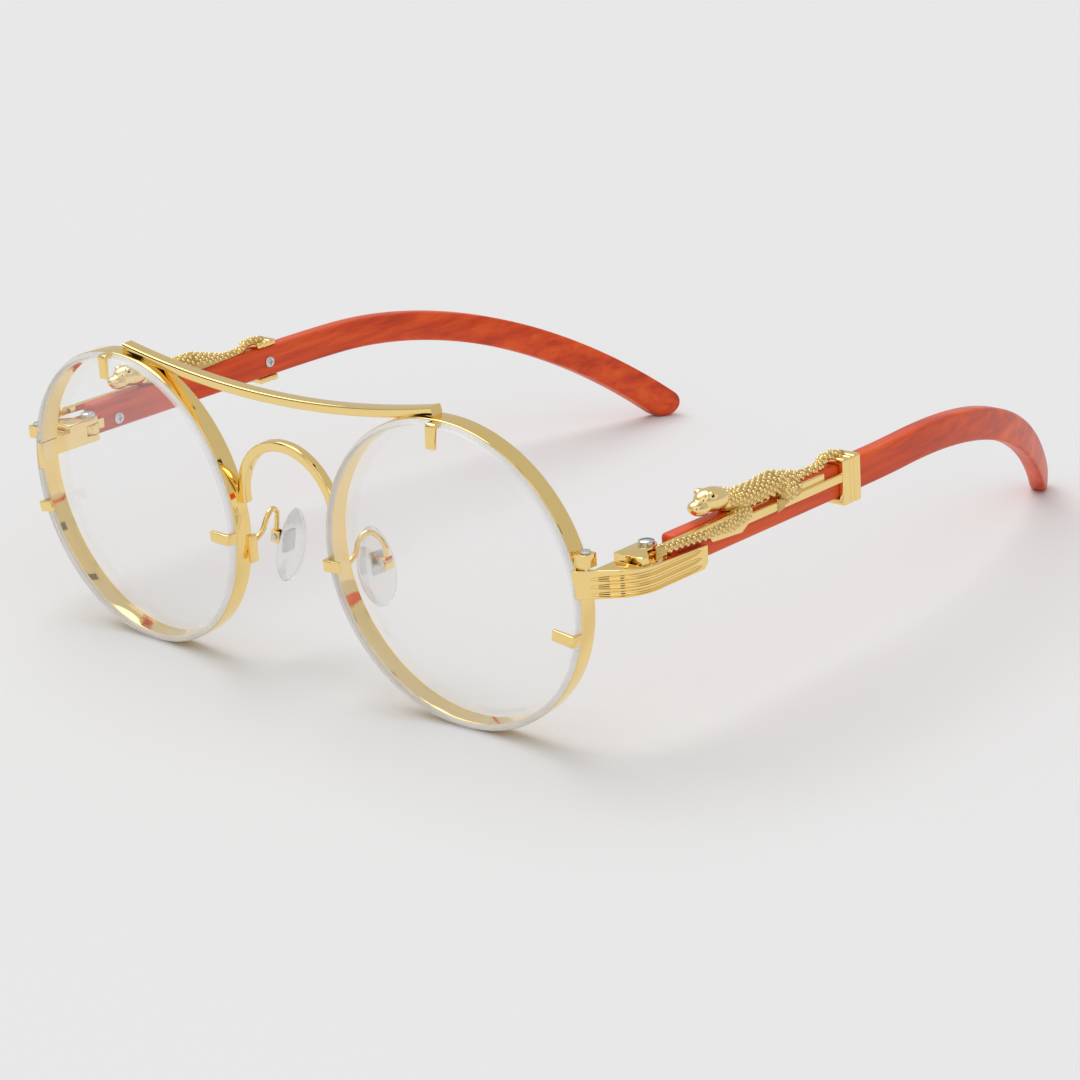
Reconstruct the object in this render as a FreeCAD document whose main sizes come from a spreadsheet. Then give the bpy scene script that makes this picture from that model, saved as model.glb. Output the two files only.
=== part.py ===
"""Round wire eyeglasses with wooden temples, as a parametric FreeCAD document.

Frame: +Z up, +X to the wearer's left, the lenses face -Y and the temples run to +Y.
The glasses stand on the bottoms of the two rims and on the two temple tips, at Z = 0.
Everything is modelled for the wearer's left side (+X) and mirrored for the right side.
"""
import FreeCAD, Part
import math
import os

import Sketcher
from FreeCAD import Vector

doc = FreeCAD.newDocument("Eyeglasses")

# ------------------------------------------------------------------ driving dimensions (mm, degrees)
SIZES = [
    ("rim_radius", 25.0, "outer radius of the rim band"),
    ("rim_wall", 1.1, "radial thickness of the band"),
    ("rim_depth", 3.2, "front-to-back depth of the band"),
    ("groove_depth", 0.5, "depth of the lens groove in the band"),
    ("groove_width", 1.4, "width of the lens groove at its mouth"),
    ("rim_split", 0.2, "slot where the rim opens for its lens"),
    ("lens_spacing", 70.9, "distance between the lens centres"),
    ("front_tilt", 3.3, "forward lean of the front"),
    ("front_wrap", 2.6, "how far each rim is turned back at its outer end"),
    ("lens_fit", 0.05, "radial play of the lens in the band"),
    ("lens_proud", 1.0, "how far the lens edge stands in front of the band"),
    ("lens_bevel", 0.6, "how much the lens edge slopes in towards the front"),
    ("lens_edge", 2.2, "thickness of the lens at its edge, behind the front of the band"),
    ("front_curve", 130.0, "radius of the front of the lens"),
    ("rear_curve", 100.0, "radius of the rear of the lens"),
    ("claw_width", 1.9, "width of a lens claw"),
    ("claw_reach", 3.9, "length of a claw over the lens"),
    ("claw_thickness", 0.5, "thickness of a claw"),
    ("claw_gap", 0.1, "gap between a claw and the lens"),
    ("bar_short", 1.15, "how far each end of the brow bar stops short of the lens centre"),
    ("bar_drop", 2.9, "how far the middle of the brow bar lies below the tops of the rims"),
    ("bar_end_rise", 0.66, "how far the ends of the brow bar lie above the tops of the rims"),
    ("bar_height", 1.5, "height of the brow bar"),
    ("bar_depth", 2.2, "depth of the brow bar"),
    ("bridge_inset", 0.15, "how far the centre line of the nose bridge runs inside the rims' nose sides"),
    ("bridge_top", 14.4, "height of the bridge's centre line at its top above the lens centres"),
    ("bridge_foot", 0.8, "how far the bridge's legs run below its centre"),
    ("bridge_width", 1.7, "radial thickness of the bridge"),
    ("bridge_depth", 1.7, "depth of the bridge"),
    ("shield_thickness", 0.9, "thickness of the end piece's side plate"),
    ("shield_bottom", 25.8, "lower edge of the side plate"),
    ("shield_top_front", 30.5, "upper edge of the side plate at the rim"),
    ("shield_top_rear", 29.5, "upper edge of the side plate at its rear"),
    ("shield_rear", 21.9, "rear end of the side plate"),
    ("shield_clearance", 0.25, "gap between the side plate and the temple"),
    ("shield_bend", 8.0, "outer bend radius of the side plate"),
    ("rib_pitch", 1.15, "spacing of the grooves in the side plate"),
    ("rib_groove", 0.22, "half width and depth of a groove"),
    ("lock_height", 2.1, "height of the rim lock above the split"),
    ("lock_thickness", 1.6, "how far the rim lock stands out from the rim"),
    ("lock_screw_radius", 0.45, "shank radius of the rim lock screw"),
    ("hinge_out", 1.85, "hinge axis, out from the side of the rim"),
    ("hinge_y", 14.0, "hinge axis, along"),
    ("hinge_bottom", 26.8, "lower end of the hinge barrel"),
    ("hinge_top", 31.0, "upper end of the hinge barrel"),
    ("knuckle_radius", 1.6, "radius of the hinge knuckles"),
    ("knuckle_low", 1.2, "height of the lower front knuckle"),
    ("knuckle_high", 1.1, "height of the upper front knuckle"),
    ("knuckle_gap", 0.08, "axial play between knuckles"),
    ("pin_radius", 0.6, "radius of the hinge screw's shank"),
    ("pin_fit", 0.04, "radial play of the hinge screw in the temple knuckle"),
    ("pin_head_radius", 1.25, "radius of the hinge screw's head"),
    ("pin_head", 0.8, "height of the hinge screw's head"),
    ("lug_front", 8.4, "front of the hinge lug, which stands above the rest of the front leaf"),
    ("lug_rise", 1.3, "how far the lug stands above the rest of the front leaf"),
    ("leaf_thickness", 0.75, "thickness of the temple leaf"),
    ("leaf_rear", 17.4, "rear end of the temple leaf"),
    ("tongue_length", 8.0, "length of the leaf's tongue inside the wood"),
    ("wood_out", 4.25, "centre plane of the straight part of the wooden arm, out from the side of the rim"),
    ("wood_front", 16.0, "front end of the wooden arm"),
    ("wood_thickness", 3.1, "thickness of the wooden arm"),
    ("wood_depth", 5.4, "height of the wooden arm"),
    ("wood_z", 29.5, "centre height of the straight part of the arm"),
    ("ear_bend", 74.5, "where the arm starts to bend down"),
    ("ear_radius", 98.0, "radius of the downward bend"),
    ("tuck_bend", 62.0, "where the arm starts to bend inwards"),
    ("tuck_radius", 165.6, "radius of the inward bend"),
    ("wood_round", 0.8, "rounding of the arm's long edges"),
    ("rail_thickness", 0.9, "thickness of the side rail"),
    ("rail_front", 11.5, "front end of the side rail"),
    ("rail_bottom", 29.6, "lower edge of the rail"),
    ("rail_top", 31.1, "upper edge of the rail"),
    ("clamp_front", 55.2, "front of the clamp"),
    ("clamp_width", 4.4, "width of the clamp along the arm"),
    ("clamp_wall", 1.1, "thickness of the clamp"),
    ("screw_radius", 0.5, "shank radius of the temple screws"),
    ("screw_head_radius", 1.0, "head radius of the temple screws"),
    ("screw_head", 0.45, "head height of the temple screws"),
    ("screw_fit", 0.03, "radial play of the temple screws"),
    ("front_screw_y", 21.3, "place of the front temple screw"),
    ("front_screw_z", 28.6, "height of the front temple screw"),
    ("wire_radius", 0.45, "radius of the pad arm wire"),
    ("pad_inset", 0.85, "nose pad centre, in from the nose side of the rim"),
    ("pad_back", 6.5, "nose pad centre, behind the band"),
    ("pad_drop", 6.16, "nose pad centre, below the lens centres"),
    ("pad_height", 13.0, "height of a nose pad"),
    ("pad_width", 7.4, "width of a nose pad"),
    ("pad_thickness", 2.6, "thickness of a nose pad"),
    ("pad_slant", 12.0, "how far the foot of a pad leans out"),
    ("pad_splay", 8.0, "how far the rear edge of a pad turns out"),
    ("pad_stem", 0.9, "gap between the back of a pad and its box"),
    ("pad_box", 1.5, "side of the pad box"),
    ("pad_play", 0.1, "play of the pad's stem in its box"),
    ("seat_clearance", 0.3, "gap between pieces that move past each other"),
]

sheet = doc.addObject("Spreadsheet::Sheet", "Sizes")
for row, (alias, value, note) in enumerate(SIZES, start=1):
    sheet.set("A%d" % row, note)
    sheet.set("B%d" % row, str(value))
    sheet.setAlias("B%d" % row, alias)
doc.recompute()


def size(alias):
    """The value of a driving dimension."""
    return float(sheet.get(alias))


# ------------------------------------------------------------------ sizes that follow from the driving ones
RIM_R = size("rim_radius")
TILT = math.radians(size("front_tilt"))
CENTRE_Z = RIM_R * math.cos(TILT)
RIM_SIDE = size("lens_spacing") / 2 + RIM_R
RIM_INNER_SIDE = size("lens_spacing") / 2 - RIM_R
WOOD_X = RIM_SIDE + size("wood_out")
WOOD_OUTER = WOOD_X + size("wood_thickness") / 2
WOOD_INNER = WOOD_X - size("wood_thickness") / 2
WOOD_TOP = size("wood_z") + size("wood_depth") / 2
WOOD_BOTTOM = size("wood_z") - size("wood_depth") / 2
SHIELD_INNER = WOOD_OUTER + size("shield_clearance")
SHIELD_OUTER = SHIELD_INNER + size("shield_thickness")
CLAMP_MIDDLE = size("clamp_front") + size("clamp_width") / 2
BIG = 60.0
EXPORTS = []


def front_frame():
    """Placement of the leaning front: local X across, Y back through the rims, Z up the lenses."""
    lean = FreeCAD.Rotation(Vector(1, 0, 0), size("front_tilt"))
    return FreeCAD.Placement(Vector(0, 0, CENTRE_Z), lean)


def rim_frame():
    """Placement of the left lens: the leaning front, moved to the lens centre and wrapped back."""
    wrap = FreeCAD.Rotation(Vector(0, 0, 1), size("front_wrap"))
    move = FreeCAD.Placement(Vector(size("lens_spacing") / 2, 0, 0), wrap)
    return front_frame().multiply(move)


LENS_AXIS = FreeCAD.Rotation(Vector(1, 0, 0), -90)      # turns local Z to +Y, back through the rim
AROUND_LENS = rim_frame().multiply(FreeCAD.Placement(Vector(0, 0, 0), LENS_AXIS))


# ------------------------------------------------------------------ small helpers
def publish(obj, name):
    """Give a finished sub-part its name and put it on the export list."""
    obj.Label = name
    EXPORTS.append(obj)
    return obj


def mirrored(obj, name):
    """The right-hand twin of a left-hand piece."""
    twin = doc.addObject("Part::Mirroring", name)
    twin.Source = obj
    twin.Base = Vector(0, 0, 0)
    twin.Normal = Vector(1, 0, 0)
    return publish(twin, name)


def pair(obj, name):
    """Publish a left-hand piece and its right-hand twin."""
    publish(obj, "left_" + name)
    return mirrored(obj, "right_" + name)


def feature(name, shape):
    """A piece whose shape is worked out with Part's own functions."""
    obj = doc.addObject("Part::Feature", name)
    obj.Shape = shape
    return obj


def cylinder(name, radius, height, placement):
    """A Part cylinder whose radius and height are expressions on the sheet."""
    obj = doc.addObject("Part::Cylinder", name)
    obj.setExpression("Radius", radius)
    obj.setExpression("Height", height)
    obj.Placement = placement
    return obj


def box(name, length, width, height, placement):
    """A Part box whose sides are expressions on the sheet."""
    obj = doc.addObject("Part::Box", name)
    obj.setExpression("Length", length)
    obj.setExpression("Width", width)
    obj.setExpression("Height", height)
    obj.Placement = placement
    return obj


def boolean(kind, name, base, tool):
    """A Part::Cut, Part::Common or Part::Fuse of two objects."""
    obj = doc.addObject(kind, name)
    obj.Base = base
    obj.Tool = tool
    return obj


def cut(name, base, *tools):
    """Cut the tools out of the base, one after the other."""
    result = base
    for number, tool in enumerate(tools, start=1):
        last = number == len(tools)
        result = boolean("Part::Cut", name if last else "%s_step%d" % (name, number), result, tool)
    return result


def origin_plane(body, role):
    """One of a body's own origin planes, found by its role."""
    return next(item for item in body.Origin.OriginFeatures if item.Role == role)


def outline(body, name, role, points):
    """A closed sketch of straight lines whose corners are expressions on the sheet."""
    sketch = body.newObject("Sketcher::SketchObject", name)
    sketch.AttachmentSupport = (origin_plane(body, role), [""])
    sketch.MapMode = "FlatFace"
    count = len(points)
    for index in range(count):
        begin = Vector(index, index % 2, 0)
        finish = Vector(index + 1, (index + 1) % 2, 0)
        sketch.addGeometry(Part.LineSegment(begin, finish), False)
    for index in range(count):
        following = (index + 1) % count
        sketch.addConstraint(Sketcher.Constraint("Coincident", index, 2, following, 1))
    for index, (across, up) in enumerate(points):
        for kind, expression in (("DistanceX", across), ("DistanceY", up)):
            value = evaluate(expression)
            number = sketch.addConstraint(Sketcher.Constraint(kind, -1, 1, index, 1, value))
            sketch.setExpression("Constraints[%d]" % number, expression)
    return sketch


def evaluate(expression):
    """The present value of an expression on the sheet."""
    value = sheet.evalExpression(expression.replace("Sizes.", ""))
    return float(getattr(value, "Value", value))


def revolved(name, points, placement):
    """A body turned about its own Z axis from an outline of (radius, height) expressions."""
    body = doc.addObject("PartDesign::Body", name)
    sketch = outline(body, name + "_outline", "XZ_Plane", points)
    turned = body.newObject("PartDesign::Revolution", name + "_turned")
    turned.Profile = sketch
    turned.ReferenceAxis = (sketch, ["V_Axis"])
    turned.Angle = 360
    body.Placement = placement
    return body


def padded(name, role, points, length, placement, reverse=False):
    """A body padded from an outline of expressions on one of its origin planes."""
    body = doc.addObject("PartDesign::Body", name)
    sketch = outline(body, name + "_outline", role, points)
    pad = body.newObject("PartDesign::Pad", name + "_pad")
    pad.Profile = sketch
    pad.setExpression("Length", length)
    pad.Reversed = reverse
    body.Placement = placement
    return body


def at(x, y, z, rotation=None):
    """A placement at a point, turned if a rotation is given."""
    return FreeCAD.Placement(Vector(x, y, z), rotation or FreeCAD.Rotation())


def capsule_chain(points):
    """A smooth limb: spheres at the points, joined by cones, fused into one solid."""
    pieces = []
    for (begin, first), (finish, second) in zip(points, points[1:]):
        start = Vector(*begin)
        way = Vector(*finish) - start
        if abs(first - second) < 1e-3:
            pieces.append(Part.makeCylinder(first, way.Length, start, way))
        else:
            pieces.append(Part.makeCone(first, second, way.Length, start, way))
    for centre, radius in points:
        pieces.append(Part.makeSphere(radius, Vector(*centre)))
    return pieces[0].multiFuse(pieces[1:])


def ellipsoid(centre, half_sizes):
    """An ellipsoid as a scaled sphere."""
    matrix = FreeCAD.Matrix()
    matrix.scale(*half_sizes)
    matrix.move(Vector(*centre))
    return Part.makeSphere(1.0).transformGeometry(matrix)


def rounded_path(points, radius):
    """A planar path of two straight runs joined by a tangent arc."""
    first, corner, last = points
    back = (first - corner).normalize()
    ahead = (last - corner).normalize()
    half = back.getAngle(ahead) / 2
    reach = radius / math.tan(half)
    enter = corner + back * reach
    leave = corner + ahead * reach
    middle = corner + (back + ahead).normalize() * (radius / math.sin(half) - radius)
    edges = [
        Part.LineSegment(first, enter).toShape(),
        Part.Arc(enter, middle, leave).toShape(),
        Part.LineSegment(leave, last).toShape(),
    ]
    return Part.Wire(edges)


# ------------------------------------------------------------------ rims and lenses
def build_rim():
    """The flat band around a lens: a turned ring with a groove inside and a split at its outer end."""
    inner = "Sizes.rim_radius - Sizes.rim_wall"
    middle = "Sizes.rim_depth / 2"
    ring = revolved("rim_ring", [
        ("Sizes.rim_radius", "0"),
        ("Sizes.rim_radius", "Sizes.rim_depth"),
        (inner, "Sizes.rim_depth"),
        (inner, middle + " + Sizes.groove_width / 2"),
        (inner + " + Sizes.groove_depth", middle),
        (inner, middle + " - Sizes.groove_width / 2"),
        (inner, "0"),
    ], AROUND_LENS)
    split_z = size("shield_top_front") - CENTRE_Z + 0.05
    slot = box("rim_slot", "4", "Sizes.rim_depth + 2", "Sizes.rim_split",
               rim_frame().multiply(at(RIM_R - 3, -1, split_z)))
    return cut("left_rim", ring, slot)


def build_lens():
    """The lens: a bevelled edge that sits in the groove, and two spherical faces."""
    seat = "Sizes.rim_radius - Sizes.rim_wall - Sizes.lens_fit"
    middle = "Sizes.rim_depth / 2"
    flange = "Sizes.rim_radius - 0.1"
    half = "(Sizes.groove_width / 2 - Sizes.lens_fit)"
    blank = revolved("lens_blank", [
        ("0", "-4"),
        (flange + " - Sizes.lens_bevel", "-4"),
        (flange + " - Sizes.lens_bevel", "-Sizes.lens_proud"),
        (flange, "-Sizes.lens_fit"),
        (seat, "-Sizes.lens_fit"),
        (seat, middle + " - " + half),
        (seat + " + Sizes.groove_depth - Sizes.lens_fit", middle),
        (seat, middle + " + " + half),
        (seat, "Sizes.rim_depth"),
        ("0", "Sizes.rim_depth"),
    ], AROUND_LENS)
    edge = RIM_R - 0.1 - size("lens_bevel")
    front_r = size("front_curve")
    rear_r = size("rear_curve")
    front_centre = -size("lens_proud") + math.sqrt(front_r ** 2 - edge ** 2)
    rear_edge = RIM_R - size("rim_wall")
    rear_centre = size("lens_edge") + math.sqrt(rear_r ** 2 - rear_edge ** 2)
    front_ball = doc.addObject("Part::Sphere", "lens_front_ball")
    front_ball.setExpression("Radius", "Sizes.front_curve")
    front_ball.Placement = rim_frame().multiply(at(0, front_centre, 0))
    rear_ball = doc.addObject("Part::Sphere", "lens_rear_ball")
    rear_ball.setExpression("Radius", "Sizes.rear_curve")
    rear_ball.Placement = rim_frame().multiply(at(0, rear_centre, 0))
    bulged = boolean("Part::Common", "lens_bulged", blank, front_ball)
    return bulged, rear_ball


def lens_front(radius):
    """Depth of the lens's front face at a distance from the lens axis, in the rim's frame."""
    edge = RIM_R - 0.1 - size("lens_bevel")
    curve = size("front_curve")
    return -size("lens_proud") + math.sqrt(curve ** 2 - edge ** 2) - math.sqrt(curve ** 2 - radius ** 2)


CLAW_ANGLES = (88.0, 184.5, -13.0)      # top, nose side and outer side, seen from behind the left lens


def build_claws():
    """Three claws: a root on the front edge of the band, bent in over the face of the lens."""
    thick = size("claw_thickness")
    gap = size("claw_gap")
    root_out = RIM_R
    root_in = RIM_R - thick
    tip = RIM_R - size("claw_reach")
    outer_front = lens_front(root_out - 0.6) - gap - thick - 0.35
    tip_front = lens_front(tip) - gap - thick
    section = [
        Vector(root_out, 0, 0),
        Vector(root_out, outer_front + 0.4, 0),
        Vector(root_out - 0.35, outer_front, 0),
        Vector(tip, tip_front, 0),
        Vector(tip, tip_front + thick, 0),
        Vector(root_in, lens_front(root_in - 0.4) - gap, 0),
        Vector(root_in, 0, 0),
    ]
    face = Part.Face(Part.makePolygon(section + section[:1]))
    face.translate(Vector(0, 0, -size("claw_width") / 2))
    claw = face.extrude(Vector(0, 0, size("claw_width")))
    claws = []
    for angle in CLAW_ANGLES:
        turned = claw.copy()
        turned.rotate(Vector(0, 0, 0), Vector(0, 1, 0), -angle)
        claws.append(turned)
    obj = feature("left_lens_claws", Part.makeCompound(claws))
    obj.Placement = rim_frame()
    return obj


def build_claw_notches():
    """Room in the lens's front edge for the roots of the claws."""
    width = size("claw_width") + 2 * size("claw_gap")
    notches = []
    for angle in CLAW_ANGLES:
        block = Part.makeBox(2.0, 4.0, width)
        block.translate(Vector(RIM_R - size("claw_thickness") - size("claw_gap"), -4.0, -width / 2))
        block.rotate(Vector(0, 0, 0), Vector(0, 1, 0), -angle)
        notches.append(block)
    obj = feature("claw_notches", Part.makeCompound(notches))
    obj.Placement = rim_frame()
    return obj


left_rim = build_rim()
pair(left_rim, "rim")
left_claws = build_claws()
pair(left_claws, "lens_claws")
lens_bulged, lens_rear_ball = build_lens()
pair(cut("left_lens", lens_bulged, lens_rear_ball, build_claw_notches()), "lens")

# the room that each rim's band takes, which soldered pieces are shaped to
rim_room = cylinder("rim_room", "Sizes.rim_radius", "Sizes.rim_depth + 4",
                    AROUND_LENS.multiply(at(0, 0, -2)))
rim_room_right = doc.addObject("Part::Mirroring", "rim_room_right")
rim_room_right.Source = rim_room
rim_room_right.Normal = Vector(1, 0, 0)


# ------------------------------------------------------------------ brow bar and nose bridge
def build_brow_bar():
    """A slim bar that dips between the tops of the two rims and is soldered onto them."""
    half_span = "(Sizes.lens_spacing / 2 - Sizes.bar_short)"
    rise = "(Sizes.bar_drop + Sizes.bar_end_rise)"
    radius = "((%s ^ 2 + %s ^ 2) / (2 * %s))" % (half_span, rise, rise)
    low = RIM_R - size("bar_drop")
    back = size("rim_depth") - size("bar_depth")
    place = front_frame().multiply(at(0, back, low + evaluate(radius), LENS_AXIS))
    outer = cylinder("bar_outer", radius + " + Sizes.bar_height / 2", "Sizes.bar_depth", place)
    inner = cylinder("bar_inner", radius + " - Sizes.bar_height / 2", "Sizes.bar_depth", place)
    hoop = cut("bar_hoop", outer, inner)
    below = 2 * size("bar_height")
    window = box("bar_window", "2 * " + half_span, "Sizes.bar_depth + 2", rise + " + 4 * Sizes.bar_height",
                 front_frame().multiply(at(-evaluate(half_span), back - 1, low - below)))
    strip = boolean("Part::Common", "bar_strip", hoop, window)
    return cut("brow_bar", strip, rim_room, rim_room_right)


def build_bridge():
    """The arch over the nose, whose legs run down onto the inner sides of the rims."""
    back = (size("rim_depth") - size("bridge_depth")) / 2
    radius = "(Sizes.lens_spacing / 2 - Sizes.rim_radius - Sizes.bridge_inset)"
    centre = size("bridge_top") - evaluate(radius)
    place = front_frame().multiply(at(0, back, centre, LENS_AXIS))
    outer = cylinder("bridge_outer", radius + " + Sizes.bridge_width / 2", "Sizes.bridge_depth", place)
    inner = cylinder("bridge_inner", radius + " - Sizes.bridge_width / 2", "Sizes.bridge_depth", place)
    hoop = cut("bridge_hoop", outer, inner)
    foot = centre - size("bridge_foot")
    window = box("bridge_window", "4 * " + radius, "Sizes.bridge_depth + 2", "2 * " + radius,
                 front_frame().multiply(at(-2 * evaluate(radius), back - 1, foot)))
    arch = boolean("Part::Common", "bridge_arch", hoop, window)
    return cut("nose_bridge", arch, rim_room, rim_room_right)


publish(build_brow_bar(), "brow_bar")
publish(build_bridge(), "nose_bridge")


# ------------------------------------------------------------------ end pieces and rim locks
SHIELD_START = Vector(RIM_SIDE - 0.6, 0.4, 0)
SHIELD_CORNER = Vector(SHIELD_OUTER, 6.8, 0)
SHIELD_END = Vector(SHIELD_OUTER, size("shield_rear"), 0)


def shield_path(inset):
    """The plan of the side plate's outer face, moved in by an inset."""
    lead = (SHIELD_CORNER - SHIELD_START).normalize()
    inward = Vector(-lead.y, lead.x, 0)
    start = SHIELD_START + inward * inset
    run = (SHIELD_OUTER - inset - start.x) / lead.x
    corner = Vector(SHIELD_OUTER - inset, start.y + lead.y * run, 0)
    last = Vector(SHIELD_OUTER - inset, SHIELD_END.y, 0)
    return rounded_path([start, corner, last], size("shield_bend") - inset)


def plan_face(outer, inner):
    """The flat face between two open paths."""
    ends = (outer.OrderedVertexes, inner.OrderedVertexes)
    front = Part.LineSegment(ends[0][0].Point, ends[1][0].Point).toShape()
    rear = Part.LineSegment(ends[0][-1].Point, ends[1][-1].Point).toShape()
    return Part.Face(Part.Wire(Part.__sortEdges__(outer.Edges + inner.Edges + [front, rear])))


def inside_shield():
    """Everything on the temple's side of the side plate, from its front end to its rear end."""
    path = shield_path(size("shield_thickness"))
    first, last = path.OrderedVertexes[0].Point, path.OrderedVertexes[-1].Point
    inner = RIM_SIDE - 6.0
    corners = [last, Vector(inner, last.y, 0), Vector(inner, first.y, 0), first]
    edges = [Part.LineSegment(begin, end).toShape() for begin, end in zip(corners, corners[1:])]
    return Part.Face(Part.Wire(Part.__sortEdges__(path.Edges + edges))).extrude(Vector(0, 0, BIG))


def side_slope():
    """The side view that the side plate is trimmed to: its top falls towards the rear."""
    low = size("shield_bottom")
    points = [
        Vector(0, -2, low),
        Vector(0, size("shield_rear") - 0.9, low),
        Vector(0, size("shield_rear"), low + 0.9),
        Vector(0, size("shield_rear"), size("shield_top_rear")),
        Vector(0, -2, size("shield_top_front")),
    ]
    face = Part.Face(Part.makePolygon(points + points[:1]))
    return face.extrude(Vector(SHIELD_OUTER + 5, 0, 0))


def build_shield_blank():
    """The side plate before its grooves are cut: a bent strip with a thick root at the rim."""
    strip = plan_face(shield_path(0), shield_path(size("shield_thickness")))
    strip = strip.extrude(Vector(0, 0, 10))
    strip.translate(Vector(0, 0, size("shield_bottom") - 2))
    root = Part.makeBox(2.4, 2.6, 10, Vector(RIM_SIDE - 1.0, 0.7, size("shield_bottom") - 2))
    return strip.fuse(root).common(side_slope())


def build_grooves():
    """Three grooves that follow the outer face of the side plate."""
    half = size("rib_groove")
    middle = (size("shield_bottom") + size("shield_top_rear")) / 2
    grooves = []
    for step in (-1, 0, 1):
        band = plan_face(shield_path(-half), shield_path(half)).extrude(Vector(0, 0, 2 * half))
        band.translate(Vector(0, 0, middle + step * size("rib_pitch") - half))
        reach = Part.makeBox(BIG, size("shield_rear") - 6.0, BIG, Vector(RIM_SIDE + 1, 4.0, 0))
        grooves.append(band.common(reach))
    return feature("shield_grooves", Part.makeCompound(grooves))


def lock_place():
    """Where the rim lock's screw runs: up through the root of the side plate."""
    return Vector(RIM_SIDE + 0.55, 2.0, 0)


shield_blank = feature("shield_blank", build_shield_blank())
LOCK_SHANK_IN_PLATE = 2.4
lock_bottom = size("shield_top_front") + 0.05
lock_bore_depth = LOCK_SHANK_IN_PLATE + 0.2
lock_bore = cylinder("lock_bore", "Sizes.lock_screw_radius", "20",
                     at(lock_place().x, lock_place().y, size("shield_top_front") - lock_bore_depth))
pair(cut("left_end_piece", shield_blank, rim_room, build_grooves(), lock_bore), "end_piece")


def build_rim_lock():
    """The block soldered to the rim above its split, which the lock screw draws down."""
    block = box("lock_block", "Sizes.lock_thickness + 0.8", "2.4", "Sizes.lock_height",
                at(RIM_SIDE - 0.8, 0.8, lock_bottom + size("rim_split")))
    return cut("left_rim_lock", block, rim_room, lock_bore)


pair(build_rim_lock(), "rim_lock")

lock_seat = lock_bottom + size("rim_split") + size("lock_height")
lock_screw = revolved("left_lock_screw", [
    ("0", "0"),
    ("Sizes.lock_screw_radius", "0"),
    ("Sizes.lock_screw_radius", "Sizes.lock_height + Sizes.rim_split + 2.4"),
    ("Sizes.lock_screw_radius * 1.8", "Sizes.lock_height + Sizes.rim_split + 2.4"),
    ("Sizes.lock_screw_radius * 1.8", "Sizes.lock_height + Sizes.rim_split + 2.8"),
    ("0", "Sizes.lock_height + Sizes.rim_split + 2.8"),
], at(lock_place().x, lock_place().y, lock_seat - size("lock_height") - size("rim_split") - 2.4))
pair(lock_screw, "lock_screw")


# ------------------------------------------------------------------ hinge
HINGE = Vector(RIM_SIDE + size("hinge_out"), size("hinge_y"), 0)
LOW_TOP = size("hinge_bottom") + size("knuckle_low")
HIGH_BOTTOM = size("hinge_top") - size("knuckle_high")


def disc(radius, low, high):
    """A disc about the hinge axis between two heights."""
    return Part.makeCylinder(radius, high - low, Vector(HINGE.x, HINGE.y, low))


def build_front_leaf():
    """The front leaf: a low block behind the side plate, a taller lug and an upper and a lower knuckle."""
    low, high = size("hinge_bottom"), size("hinge_top")
    reach = HINGE.y - size("knuckle_radius") - size("seat_clearance")
    plan = [
        Vector(HINGE.x - size("knuckle_radius"), size("rim_depth") + 0.3, low),
        Vector(HINGE.x - size("knuckle_radius"), reach, low),
        Vector(HINGE.x + size("knuckle_radius"), reach, low),
        Vector(SHIELD_INNER + 0.2, 9.4, low),
        Vector(SHIELD_INNER + 0.2, 5.0, low),
        Vector(HINGE.x + 1.4, size("rim_depth") + 0.3, low),
    ]
    block = Part.Face(Part.makePolygon(plan + plan[:1])).extrude(Vector(0, 0, high - low))
    recess = Part.makeBox(BIG, size("lug_front"), BIG, Vector(RIM_SIDE - BIG / 2, 0, high - size("lug_rise")))
    block = block.cut(recess)
    webs = []
    for bottom, top in ((low, LOW_TOP), (HIGH_BOTTOM, high)):
        web = Part.makeBox(2 * size("knuckle_radius"), HINGE.y - reach, top - bottom,
                           Vector(HINGE.x - size("knuckle_radius"), reach, bottom))
        webs.append(web.fuse(disc(size("knuckle_radius"), bottom, top)))
    shape = block.multiFuse(webs).cut(disc(size("pin_radius"), low - 1, high + 1))
    return shape.common(inside_shield()).removeSplitter()


def build_temple_leaf():
    """The temple leaf: the middle knuckle, a plate on the wood's inner face and a tongue inside the wood."""
    low = LOW_TOP + size("knuckle_gap")
    high = HIGH_BOTTOM - size("knuckle_gap")
    barrel = disc(size("knuckle_radius"), low, high)
    thick = size("leaf_thickness")
    plate = Part.makeBox(thick, size("leaf_rear") - HINGE.y, high - low,
                         Vector(WOOD_INNER - thick, HINGE.y, low))
    end = Part.makeBox(size("wood_thickness") - 0.8, 0.9, high - low,
                       Vector(WOOD_INNER - thick, size("wood_front") - 0.9, low))
    tongue = Part.makeBox(1.0, size("tongue_length") + 0.5, high - low - 0.4,
                          Vector(WOOD_X - 0.5, size("wood_front") - 0.5, low + 0.2))
    bore = disc(size("pin_radius") + size("pin_fit"), low - 1, high + 1)
    return barrel.multiFuse([plate, end, tongue]).cut(bore).removeSplitter()


left_front_leaf = feature("left_front_leaf", build_front_leaf())
pair(cut("left_hinge_front_leaf", left_front_leaf, rim_room), "hinge_front_leaf")

hinge_screw = revolved("left_hinge_screw", [
    ("0", "0"),
    ("Sizes.pin_radius", "0"),
    ("Sizes.pin_radius", "Sizes.hinge_top - Sizes.hinge_bottom"),
    ("Sizes.pin_head_radius", "Sizes.hinge_top - Sizes.hinge_bottom"),
    ("Sizes.pin_head_radius", "Sizes.hinge_top - Sizes.hinge_bottom + Sizes.pin_head * 0.6"),
    ("Sizes.pin_head_radius * 0.7", "Sizes.hinge_top - Sizes.hinge_bottom + Sizes.pin_head"),
    ("0", "Sizes.hinge_top - Sizes.hinge_bottom + Sizes.pin_head"),
], at(HINGE.x, HINGE.y, size("hinge_bottom")))
pair(hinge_screw, "hinge_screw")

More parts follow.
